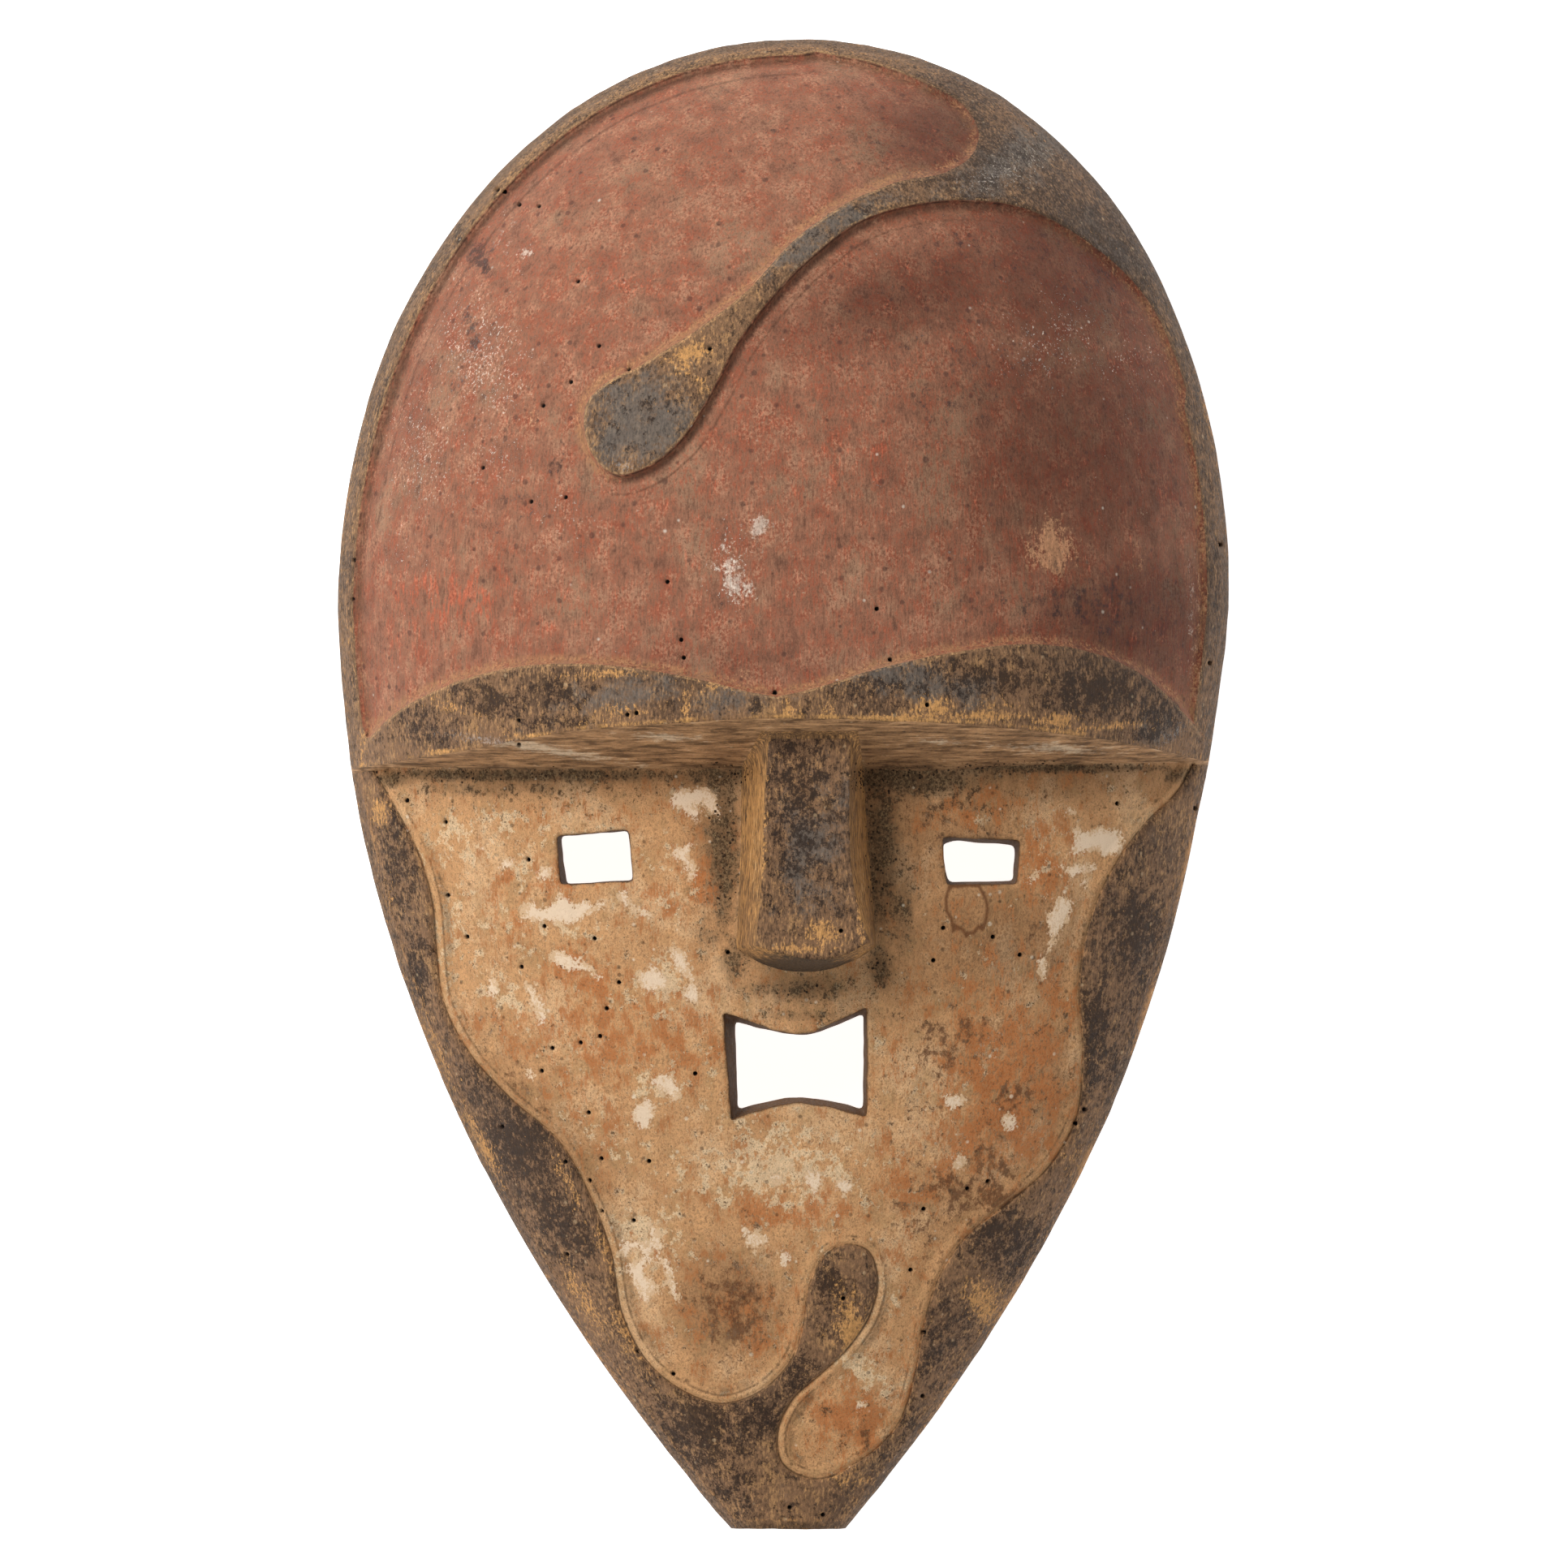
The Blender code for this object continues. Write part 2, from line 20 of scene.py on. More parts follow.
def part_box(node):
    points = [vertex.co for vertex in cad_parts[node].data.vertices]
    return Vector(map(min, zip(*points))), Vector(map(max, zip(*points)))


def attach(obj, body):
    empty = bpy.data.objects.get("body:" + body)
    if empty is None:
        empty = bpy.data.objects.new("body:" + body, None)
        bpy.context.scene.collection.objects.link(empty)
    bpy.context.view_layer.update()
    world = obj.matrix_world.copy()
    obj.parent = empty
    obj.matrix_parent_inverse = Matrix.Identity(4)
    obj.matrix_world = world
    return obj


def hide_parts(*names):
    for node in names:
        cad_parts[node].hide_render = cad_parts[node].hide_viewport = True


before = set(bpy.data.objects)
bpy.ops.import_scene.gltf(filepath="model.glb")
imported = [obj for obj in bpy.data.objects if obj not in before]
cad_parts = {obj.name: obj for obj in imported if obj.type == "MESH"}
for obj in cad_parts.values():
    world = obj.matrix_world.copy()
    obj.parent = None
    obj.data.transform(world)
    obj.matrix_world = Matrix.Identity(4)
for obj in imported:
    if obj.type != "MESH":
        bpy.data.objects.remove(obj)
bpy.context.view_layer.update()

MASK_LOW, MASK_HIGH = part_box("mask")
HALF_WIDTH = (MASK_HIGH.x - MASK_LOW.x) / 2
HALF_LENGTH = (MASK_HIGH.y - MASK_LOW.y) / 2
MM = 0.001

# Heights and thicknesses of the carving, as in the solid
CHIN_WIDTH = 0.0275
FOREHEAD_HEIGHT = 0.094
BROW_FLARE = 0.003
FACE_HEIGHT_TOP = 0.068
FACE_HEIGHT_CHIN = 0.034
NOSE_HEIGHT_TOP = 0.086
NOSE_HEIGHT_TIP = 0.085
EDGE_HEIGHTS = (0.026, 0.026, 0.024, 0.014)
EDGE_PLACES = (-1.0, -0.3, 0.235, 1.0)
WALL = 0.014
RIM_WIDTH = 0.011
CHIN_WALL = 0.018
RIM_LIP = 0.0015
LEFT_BAND = 0.0038
RIGHT_BAND = 0.0053
WIDEST = 0.235
CROWN_ROUND = 2.08
JAW_TAPER = 0.15
JAW_CURVE = 2.25
DRIFT_PLACES = (-1.0, -0.45, -0.05, 0.235, 0.60, 1.0)
DRIFT = (0.012, 0.0, -0.011, 0.0, 0.010, 0.036)
FOREHEAD_POWER = 2.3
FOREHEAD_FALL = 0.75
FACE_POWER = 2.8
FACE_FALL = 0.75
FACE_DROP = 1.6
HOLLOW_POWER = 2.8
HOLLOW_FALL = 0.55
FLARE_REACH = 0.12
HOLLOW_STEP = 0.30

# Spacing of the points of the fine skin
FINE_STEP = 1.02 * MM
LINE_STEP = 0.9 * MM
RIM_STEP = 1.04 * MM
RING_STEP = 5 * MM
HOLLOW_STEP_SIZE = 2.1 * MM
WALL_ROWS = 9
HOLE_ROWS = 6

# Section through the edge of the red field: millimetres into it, and millimetres of height
RED_SECTION = (-1.2, -0.4, 0.0, 0.6, 1.1, 2.2, 4.0, 7.0)
RED_DEPTH = (0.0, -0.05, -0.28, -1.35, -1.95, -2.18, -2.05, -2.0)
RED_LINES = (0.0, 0.6, 1.1, 2.2)
# Section through the edge of the face: a groove, a bead beside it and a shallow dip
FACE_SECTION = (-1.0, -0.3, 0.1, 0.4, 0.9, 1.5, 2.4, 3.5, 5.2, 8.0)
FACE_DEPTH = (0.0, -0.12, -1.2, -1.6, -1.12, -0.98, -1.4, -2.2, -2.1, -2.0)
FACE_LINES = (0.0, 0.4, 0.9, 1.5, 2.4, 3.5)
# Where the light leaves an edge in shadow, the gouge went deeper beside it
LEE_WAY = (0.6, -0.8)
LEE_SECTION = (0.0, 1.1, 2.2, 7.0)
LEE_DEPTH = (0.0, -0.75, -0.85, 0.0)
# A ridge runs round the front just inside the outer edge
RIM_SECTION = (0.6, 1.5, 2.1, 2.8, 3.8)
RIM_RISE = (0.0, 0.04, 0.34, 0.04, 0.0)
RIM_LINES = (0.7, 1.5, 2.1, 2.8)

# Carved lines, in shares of the half width and half length
BROW_TOP_LEFT = (
    (-0.933, 0.058), (-0.871, 0.093), (-0.774, 0.126), (-0.616, 0.154), (-0.426, 0.159),
    (-0.219, 0.143), (-0.049, 0.120), (-0.013, 0.116),
)
BROW_TOP_RIGHT = (
    (-0.013, 0.116), (0.042, 0.123), (0.224, 0.155), (0.386, 0.176), (0.546, 0.186),
    (0.696, 0.175), (0.831, 0.134), (0.907, 0.089), (0.953, 0.053),
)
SWEEP_LOWER = (
    (0.905, 0.529), (0.872, 0.586), (0.814, 0.653), (0.687, 0.725), (0.526, 0.774),
    (0.399, 0.782), (0.281, 0.774), (0.173, 0.753), (0.064, 0.705), (-0.027, 0.650),
    (-0.109, 0.584), (-0.168, 0.516), (-0.237, 0.455),
)
SWEEP_HEAD = ((-0.315, 0.421), (-0.370, 0.413), (-0.417, 0.432), (-0.444, 0.471), (-0.439, 0.507))
SWEEP_UPPER = (
    (-0.392, 0.537), (-0.326, 0.557), (-0.186, 0.609), (-0.078, 0.660), (0.027, 0.728),
    (0.142, 0.777), (0.257, 0.807), (0.370, 0.821), (0.426, 0.845), (0.439, 0.872),
    (0.410, 0.907), (0.319, 0.940), (0.200, 0.968), (0.075, 0.983),
)
CHEEK_LEFT = (
    (-0.920, 0.016), (-0.874, -0.030), (-0.814, -0.103), (-0.787, -0.165), (-0.780, -0.217),
    (-0.760, -0.299), (-0.707, -0.360), (-0.614, -0.422), (-0.503, -0.481), (-0.434, -0.554),
    (-0.390, -0.624), (-0.359, -0.718),
)
CHIN_LOBE_LEFT = (
    (-0.301, -0.780), (-0.231, -0.814), (-0.137, -0.833), (-0.044, -0.814), (0.020, -0.774),
)
CHIN_TONGUE = (
    (0.046, -0.730), (0.064, -0.668), (0.095, -0.634), (0.142, -0.619), (0.188, -0.627),
    (0.209, -0.659), (0.197, -0.705), (0.151, -0.751), (0.082, -0.791),
)
CHIN_LOBE_RIGHT = (
    (0.018, -0.827), (-0.015, -0.874), (-0.004, -0.912), (0.069, -0.934), (0.173, -0.910),
    (0.257, -0.863), (0.297, -0.795), (0.317, -0.728),
)
CHEEK_RIGHT = (
    (0.355, -0.659), (0.410, -0.610), (0.506, -0.564), (0.599, -0.514), (0.658, -0.452),
    (0.674, -0.381), (0.667, -0.256), (0.687, -0.190), (0.741, -0.114), (0.812, -0.055),
    (0.887, -0.010), (0.925, 0.030),
)
BROW_EDGE = (
    (-1.020, 0.013), (-0.931, 0.023), (-0.723, 0.043), (-0.454, 0.071), (-0.209, 0.082),
    (-0.002, 0.087), (0.224, 0.084), (0.494, 0.075), (0.763, 0.054), (0.949, 0.030),
    (1.020, 0.020),
)
BROW_FOOT = (
    (-1.020, 0.007), (-0.931, 0.017), (-0.588, 0.019), (-0.118, 0.020), (0.177, 0.020),
    (0.291, 0.017), (0.561, 0.024), (0.763, 0.027), (0.949, 0.024), (1.020, 0.014),
)
BROW_MIDDLE = 0.087
NOSE_CREST = (
    ((0.151, 0.060), (-0.031, 0.060)),
    ((-0.031, 0.060), (-0.044, -0.057), (-0.051, -0.147), (-0.062, -0.217)),
    ((-0.062, -0.217), (-0.004, -0.227), (0.077, -0.235), (0.135, -0.229), (0.191, -0.212)),
    ((0.191, -0.212), (0.158, -0.136), (0.148, -0.057), (0.151, 0.060)),
)
NOSE_FOOT = (
    ((0.168, 0.070), (-0.049, 0.070)),
    ((-0.049, 0.070), (-0.093, 0.022)),
    ((-0.093, 0.022), (-0.095, -0.082), (-0.100, -0.157), (-0.107, -0.221)),
    ((-0.107, -0.221), (-0.053, -0.240), (0.044, -0.252), (0.164, -0.236), (0.209, -0.219)),
    ((0.209, -0.219), (0.202, -0.147), (0.191, -0.082), (0.180, 0.022)),
    ((0.180, 0.022), (0.168, 0.070)),
)
NOSE_TOP = 0.060
NOSE_TIP = -0.235
HOLES = {
    "eye_left": (
        ((-0.508, -0.070), (-0.346, -0.062), (-0.335, -0.131), (-0.499, -0.136)),
        ((-0.495, -0.071), (-0.346, -0.064), (-0.337, -0.129), (-0.483, -0.134)),
    ),
    "eye_right": (
        ((0.356, -0.071), (0.531, -0.076), (0.524, -0.135), (0.365, -0.136)),
        ((0.359, -0.081), (0.372, -0.080), (0.384, -0.077), (0.516, -0.084), (0.515, -0.130),
         (0.371, -0.131), (0.361, -0.111)),
    ),
    "mouth": (
        ((-0.135, -0.306), (-0.079, -0.316), (-0.024, -0.329), (0.027, -0.335), (0.069, -0.332),
         (0.116, -0.319), (0.188, -0.299), (0.187, -0.447), (0.132, -0.438), (0.088, -0.432),
         (0.032, -0.428), (-0.024, -0.434), (-0.079, -0.443), (-0.117, -0.453)),
        ((-0.107, -0.319), (-0.052, -0.329), (0.004, -0.336), (0.054, -0.338), (0.082, -0.334),
         (0.132, -0.322), (0.179, -0.310), (0.177, -0.435), (0.116, -0.426), (0.077, -0.421),
         (0.038, -0.419), (0.004, -0.420), (-0.052, -0.427), (-0.099, -0.435)),
    ),
}

# The plan's middle, half width and half length, in the photograph's pixels
PHOTO_MIDDLE = (965.0, 965.5)
PHOTO_HALF = (549.0, 917.5)
PHOTO_SIDE = 1932
PIXEL = HALF_LENGTH / PHOTO_HALF[1]

# Beetle holes, where the photograph shows them
WORMHOLES = (
    (823, 718), (698, 614), (655, 619), (840, 789), (843, 811), (955, 853), (595, 577),
    (774, 881), (785, 879), (641, 919), (640, 888), (1096, 813), (1080, 751), (1142, 869),
    (713, 348), (670, 501), (704, 472), (775, 456), (875, 432), (739, 428), (640, 252),
    (664, 254), (613, 233), (622, 236), (502, 986), (549, 1013), (552, 1103), (576, 1154),
    (643, 1191), (733, 1156), (671, 1141), (652, 1059), (535, 1171), (1162, 1143),
    (1223, 1154), (1256, 1176), (1150, 1183), (1376, 990), (1473, 996), (763, 1210),
    (748, 1242), (716, 1284), (740, 1276), (681, 1291), (668, 1319), (726, 1370),
    (741, 1427), (800, 1430), (697, 1431), (742, 1492), (781, 1503), (699, 1545),
    (786, 1665), (619, 1388), (727, 1454), (1336, 1367), (1325, 1384), (1217, 1455),
    (1192, 1464), (1138, 1489), (1122, 1564), (830, 1692), (1039, 1599), (973, 1857),
    (1014, 1866), (1137, 1720), (1138, 1641), (857, 1322), (1036, 1146), (897, 1173),
    (1490, 817), (435, 738), (437, 690), (1504, 671),
)
WORMHOLE_EDGE = 0.62 * MM
WORMHOLE_FLOOR = 0.38 * MM
WORMHOLE_DEPTH = 1.5 * MM
# How many points go round its floor and its edge
WORMHOLE_RINGS = ((WORMHOLE_FLOOR, 6), (WORMHOLE_EDGE, 9))

# Soft marks of age, some of them with painted shade in them. Each is a photo x and y, a half
# width and half height in pixels, a turn in degrees, and a strength.
# Smoke stains together with painted shade: darker over the right half, which turns away from the
# light, and under the brow and the nose.
SMOKE_AND_SHADE = (
    (1330, 330, 200, 190, 30, 0.75), (1330, 540, 225, 240, 0, 0.72),
    (1400, 760, 170, 120, 0, 0.78), (1130, 365, 200, 74, 15, 0.72), (1160, 165, 120, 90, 0, 0.75),
    (860, 200, 240, 70, 10, 0.15), (1300, 960, 250, 40, 0, 0.5), (1100, 1050, 100, 150, 0, 0.55),
    (1230, 1160, 190, 110, 0, 0.6), (1270, 1330, 130, 170, 0, 0.48),
    (1180, 1480, 120, 90, 0, 0.35), (1150, 1640, 90, 140, 10, 0.28),
    (960, 1215, 110, 34, 0, 0.35), (700, 960, 260, 22, 0, 0.5), (1060, 1740, 80, 70, 0, 0.2),
    (650, 1420, 120, 190, 40, 0.5), (1400, 1200, 90, 240, 10, 0.35), (440, 760, 26, 240, 0, 0.35),
    (895, 1608, 84, 84, 0, 0.62), (600, 770, 120, 60, 0, 0.12), (500, 460, 60, 160, 0, 0.3),
    (1200, 1050, 110, 90, 0, 0.55), (880, 1040, 40, 120, 0, 0.5), (1490, 700, 26, 300, 0, 0.5),
    (930, 1400, 60, 40, 0, 0.2), (900, 815, 170, 34, 0, 0.4),
)
# Soot and other dark stains, and the painted shadow on the underside of the nose's tip.
SOOT_AND_SHADE = (
    (1330, 745, 140, 60, 0, 0.6), (1180, 470, 120, 90, 0, 0.4), (1040, 400, 60, 60, 0, 0.35),
    (592, 318, 22, 32, 20, 0.95), (568, 290, 16, 18, 0, 0.95), (580, 408, 12, 46, 12, 0.85),
    (565, 470, 14, 40, 10, 0.6), (620, 640, 60, 60, 0, 0.35), (1190, 300, 150, 40, -10, 0.4),
    (690, 570, 24, 50, 30, 0.5), (820, 250, 70, 40, 0, 0.3), (990, 160, 60, 30, 0, 0.35),
    (1110, 190, 60, 40, 0, 0.4), (605, 865, 52, 24, -14, 0.85), (520, 895, 44, 22, -24, 0.7),
    (690, 856, 40, 26, 0, 0.75), (700, 890, 60, 14, 0, 0.6), (932, 876, 10, 16, 0, 0.6),
    (1430, 885, 44, 24, 30, 0.95), (690, 1490, 30, 50, 25, 0.8), (985, 1188, 84, 17, 0, 1.0),
    (985, 990, 46, 120, 0, 0.7), (960, 1100, 16, 40, 0, 0.3), (1030, 1120, 14, 30, 0, 0.4),
    (1210, 836, 100, 26, 0, 0.7), (1350, 852, 80, 32, 0, 1.0), (1090, 850, 60, 20, 0, 0.5),
    (780, 520, 50, 44, 30, 0.12), (850, 470, 30, 30, 30, 0.3), (1240, 225, 110, 50, 35, 0.5),
    (1380, 330, 70, 60, 50, 0.5), (490, 1070, 22, 90, 0, 0.8), (515, 1190, 18, 60, 0, 0.8),
    (640, 1410, 44, 60, 40, 1.0), (680, 1480, 30, 60, 30, 0.9), (700, 1520, 40, 50, 40, 0.85),
    (590, 1330, 24, 40, 30, 0.6), (860, 1760, 60, 70, 40, 0.95), (1030, 1590, 24, 40, 20, 1.0),
    (985, 1690, 22, 60, 25, 0.95), (940, 1750, 50, 30, 20, 0.8), (1400, 1150, 44, 70, 0, 0.9),
    (1350, 1270, 24, 80, 0, 0.95), (1380, 1330, 24, 60, 0, 0.6), (1240, 1530, 60, 50, -30, 0.9),
    (1150, 1650, 30, 60, -20, 0.6), (900, 1830, 40, 40, 0, 0.6), (1120, 1760, 30, 60, -30, 0.5),
    (1200, 1620, 30, 60, -30, 0.5),
)
BLUE = (
    (780, 520, 90, 80, 30, 1.0), (1010, 290, 130, 30, 25, 0.9), (1240, 200, 110, 40, 30, 1.0),
    (1360, 310, 60, 70, 50, 0.7), (1130, 840, 90, 30, -10, 0.9), (760, 858, 110, 26, 10, 0.85),
    (910, 862, 70, 22, 0, 0.8), (1430, 895, 50, 24, 35, 0.7), (1000, 1040, 56, 110, 0, 0.8),
    (500, 1100, 24, 80, 0, 0.3), (1390, 1150, 40, 80, 0, 0.3),
)
HAZE = (
    (520, 450, 44, 130, 12, 0.12), (610, 300, 60, 60, 0, 0.4), (640, 620, 120, 70, 0, 0.12),
    (936, 652, 11, 22, -15, 1.2), (905, 710, 24, 44, 20, 0.95), (648, 310, 10, 8, 0, 1.1),
    (1225, 215, 50, 18, 20, 0.6), (1330, 370, 60, 30, 40, 0.2), (1470, 760, 14, 130, 0, 0.5),
    (660, 922, 120, 7, -9, 1.0), (820, 908, 60, 6, -4, 0.9), (1160, 915, 60, 6, 0, 0.7),
    (1300, 922, 90, 8, -3, 0.9), (1445, 905, 34, 8, 40, 0.7), (770, 575, 20, 12, 0, 0.7),
    (540, 250, 20, 60, -35, 0.5), (930, 1060, 5, 60, 0, 0.6), (1062, 1090, 4, 40, 0, 0.6),
)
BARE = (
    (657, 515, 16, 22, 0, 0.7), (1295, 680, 38, 44, 20, 1.15), (930, 1010, 13, 90, 0, 1.4),
    (447, 915, 4, 30, 0, 1.0), (1062, 1060, 8, 110, 0, 1.4), (1400, 700, 20, 60, 0, 0.5),
    (850, 440, 34, 18, 40, 0.95), (870, 480, 10, 40, 30, 0.6), (1270, 730, 30, 20, 0, 0.5),
    (900, 745, 200, 30, 0, 0.3), (1370, 640, 50, 50, 0, 0.3), (760, 460, 60, 8, 30, 0.6),
    (560, 872, 50, 10, -20, 0.6), (540, 925, 44, 6, -10, 0.75), (660, 908, 90, 5, -7, 0.6),
    (760, 880, 60, 20, 0, 0.5), (846, 868, 9, 26, 0, 0.9), (740, 832, 60, 8, 0, 0.8),
    (900, 840, 60, 14, 10, 0.6), (970, 878, 16, 18, 0, 0.9), (1020, 878, 14, 16, 0, 0.7),
    (1150, 874, 26, 16, 0, 1.0), (1110, 885, 60, 6, 0, 0.9), (1210, 882, 70, 7, 0, 0.95),
    (1300, 888, 30, 11, 0, 1.0), (1360, 896, 70, 6, 5, 0.9), (1230, 870, 40, 10, 0, 0.5),
    (470, 1000, 14, 20, 0, 0.9), (480, 1120, 10, 60, -8, 0.5), (530, 1290, 16, 90, 24, 0.8),
    (592, 1410, 12, 70, 28, 0.9), (790, 1650, 24, 60, 40, 0.9), (720, 1600, 16, 60, 32, 0.7),
    (1050, 1820, 60, 26, -20, 0.5), (1330, 1440, 20, 80, 30, 0.4), (1050, 1640, 22, 60, 15, 1.1),
    (1015, 1148, 24, 18, 0, 1.0), (980, 1168, 54, 8, 0, 0.9), (928, 1000, 6, 60, 0, 0.7),
    (1215, 1605, 24, 44, 30, 0.9), (1440, 1250, 20, 80, 10, 0.4), (930, 1090, 8, 60, 0, 0.4),
    (700, 1455, 10, 60, 25, 0.6), (745, 1540, 8, 40, 20, 0.8), (1060, 1830, 40, 20, 0, 0.5),
)
OCHRE = (
    (720, 1345, 60, 60, 0, 0.5), (1000, 1490, 60, 26, 0, 0.7), (960, 1650, 60, 26, 20, 0.5),
    (738, 1215, 36, 22, 0, 1.0), (700, 1190, 40, 30, 0, 0.8), (780, 1290, 150, 44, 0, 0.7),
    (860, 1090, 26, 30, 0, 1.0), (820, 1110, 50, 24, 0, 0.7), (700, 1085, 70, 22, 0, 0.8),
    (630, 1120, 30, 36, 0, 0.7), (630, 1080, 22, 10, 0, 0.8), (690, 1255, 120, 26, 0, 0.6),
    (1240, 1330, 90, 130, 0, 1.0), (1190, 1410, 16, 110, -35, 1.0), (1110, 1440, 50, 50, 0, 0.5),
    (905, 1620, 60, 66, 0, 0.5), (1050, 1750, 60, 50, -20, 1.0), (1280, 1060, 40, 60, 0, 0.9),
    (1200, 1000, 50, 24, 0, 0.8), (700, 1000, 120, 16, 0, 0.3), (1130, 1690, 26, 60, -20, 0.7),
    (560, 740, 70, 40, 0, 0.9), (500, 740, 26, 90, 0, 0.5), (760, 350, 60, 30, 0, 0.4),
    (960, 1500, 36, 16, 0, 0.9), (930, 1490, 24, 20, 0, 0.8), (1100, 1290, 24, 60, 0, 0.4),
    (950, 1420, 60, 10, 0, 0.4), (1300, 1230, 40, 60, 0, 0.6), (820, 1250, 90, 30, 0, 0.6),
    (690, 760, 50, 30, 0, 0.4), (1060, 560, 60, 60, 0, 0.25), (820, 640, 60, 60, 0, 0.25),
)
BROWN = (
    (1180, 1468, 64, 34, -32, 1.0), (1130, 1500, 60, 26, -20, 0.7),
    (1222, 1436, 60, 28, -35, 0.9), (1235, 1480, 60, 40, -20, 1.0), (905, 1612, 60, 64, 0, 0.95),
    (1150, 1560, 40, 60, 0, 0.5), (1160, 1010, 120, 50, 0, 0.5), (1300, 1300, 50, 140, 0, 0.35),
    (640, 975, 200, 16, 0, 0.5), (1230, 1400, 50, 60, 0, 0.5), (1060, 1770, 50, 30, -20, 0.6),
    (760, 1460, 30, 40, 0, 0.3), (1120, 1380, 40, 50, 0, 0.35), (1170, 1250, 100, 60, 0, 0.35),
    (560, 1400, 40, 20, 40, 0.3), (640, 1330, 18, 70, 40, 0.6), (1150, 990, 140, 30, 0, 0.6),
    (920, 1500, 20, 30, 0, 0.7), (600, 1250, 10, 60, 20, 0.5), (540, 1110, 8, 70, 0, 0.35),
    (740, 1480, 8, 90, 12, 0.3), (1200, 1265, 26, 20, 0, 0.9), (1285, 1180, 20, 60, 20, 0.6),
    (1160, 1290, 44, 50, 0, 0.8), (1250, 1350, 50, 30, 0, 0.8),
)
CREAM = (
    (650, 1010, 90, 26, 0, 0.6), (570, 1040, 60, 40, 0, 0.8), (640, 1060, 30, 16, 0, 0.7),
    (700, 1145, 80, 18, 0, 0.6), (960, 1440, 100, 50, 0, 1.1), (920, 1360, 60, 60, 0, 0.4),
    (810, 1340, 34, 26, 0, 1.0), (1060, 1620, 50, 40, 0, 0.3), (556, 1150, 26, 90, 0, 0.7),
    (606, 1210, 20, 30, 0, 0.8), (790, 1520, 50, 50, 0, 0.8), (824, 1205, 44, 34, 20, 1.0),
    (835, 1060, 26, 26, 0, 0.8), (860, 990, 34, 20, 0, 0.9), (800, 1120, 50, 12, 20, 0.6),
    (860, 1130, 40, 14, 0, 0.5), (590, 1180, 24, 24, 0, 0.6), (640, 1230, 20, 40, 0, 0.7),
    (760, 1400, 50, 30, 0, 0.4), (850, 1460, 60, 60, 0, 0.4), (1160, 985, 20, 10, 0, 0.5),
    (1200, 1010, 60, 8, 0, 0.4), (1095, 1600, 20, 60, 10, 0.5), (1060, 1685, 60, 16, -30, 0.7),
    (1310, 1050, 60, 40, 0, 0.3),
)
# Crusted dirt, with painted shade over it, in the corners beside the nose and under the brow.
CRUST_AND_SHADE = (
    (893, 1045, 24, 120, 0, 0.85), (1086, 1040, 28, 130, 0, 0.8), (985, 1218, 84, 20, 0, 0.6),
    (890, 955, 70, 26, 0, 0.75), (1110, 960, 120, 26, 0, 0.9), (660, 955, 240, 10, 0, 0.9),
    (1280, 946, 200, 7, 0, 0.9), (990, 1250, 80, 10, 0, 0.5), (480, 960, 40, 12, 0, 0.8),
    (905, 1180, 20, 30, 0, 0.7), (1085, 1190, 20, 30, 0, 0.8), (620, 972, 180, 12, 0, 0.5),
    (1455, 955, 30, 12, 0, 0.7), (700, 985, 240, 26, 0, 0.32), (1200, 985, 200, 26, 0, 0.3),
    (870, 1150, 16, 40, 0, 0.4), (1110, 1120, 24, 60, 0, 0.6),
)
DUST = (
    (590, 440, 60, 90, 20, 1.0), (520, 560, 50, 90, 0, 0.8), (600, 560, 60, 60, 0, 0.6),
    (700, 640, 60, 40, 0, 0.5), (1290, 420, 90, 60, 20, 0.6), (1260, 200, 90, 40, 30, 0.8),
    (900, 700, 30, 60, 0, 0.8), (880, 1070, 14, 40, 0, 0.8), (560, 330, 30, 60, -30, 0.5),
    (1400, 430, 60, 60, 0, 0.5), (500, 680, 40, 60, 0, 0.4),
)
# Where the carved lines are drawn stronger: painted shade in the face's groove and dip and a
# painted highlight on its bead, and a worn orange edge along the black rim.
GROOVE = (
    (1484, 650, 14, 190, 0, 1.0), (1478, 840, 12, 60, 0, 0.8), (600, 1300, 60, 200, 30, 0.6),
    (560, 1120, 60, 160, 0, 0.8), (760, 1600, 60, 160, 20, 0.9), (900, 1730, 100, 40, 0, 1.0),
    (1075, 1620, 30, 120, 10, 1.0), (980, 1750, 40, 90, 0, 0.9), (440, 720, 20, 200, 0, 0.7),
    (1300, 1420, 80, 120, 0, 0.5), (1150, 1700, 60, 120, 0, 0.5), (1462, 1060, 30, 90, 8, 0.9),
    (1420, 1260, 30, 120, 14, 1.0), (1340, 1440, 30, 90, 28, 1.0), (1240, 1590, 40, 70, 35, 0.8),
)
SOFT_MARKS = {
    "smoke": SMOKE_AND_SHADE, "soot": SOOT_AND_SHADE, "blue": BLUE, "haze": HAZE, "bare": BARE, "ochre": OCHRE,
    "brown": BROWN, "cream": CREAM, "crust": CRUST_AND_SHADE, "dust": DUST, "groove": GROOVE,
}

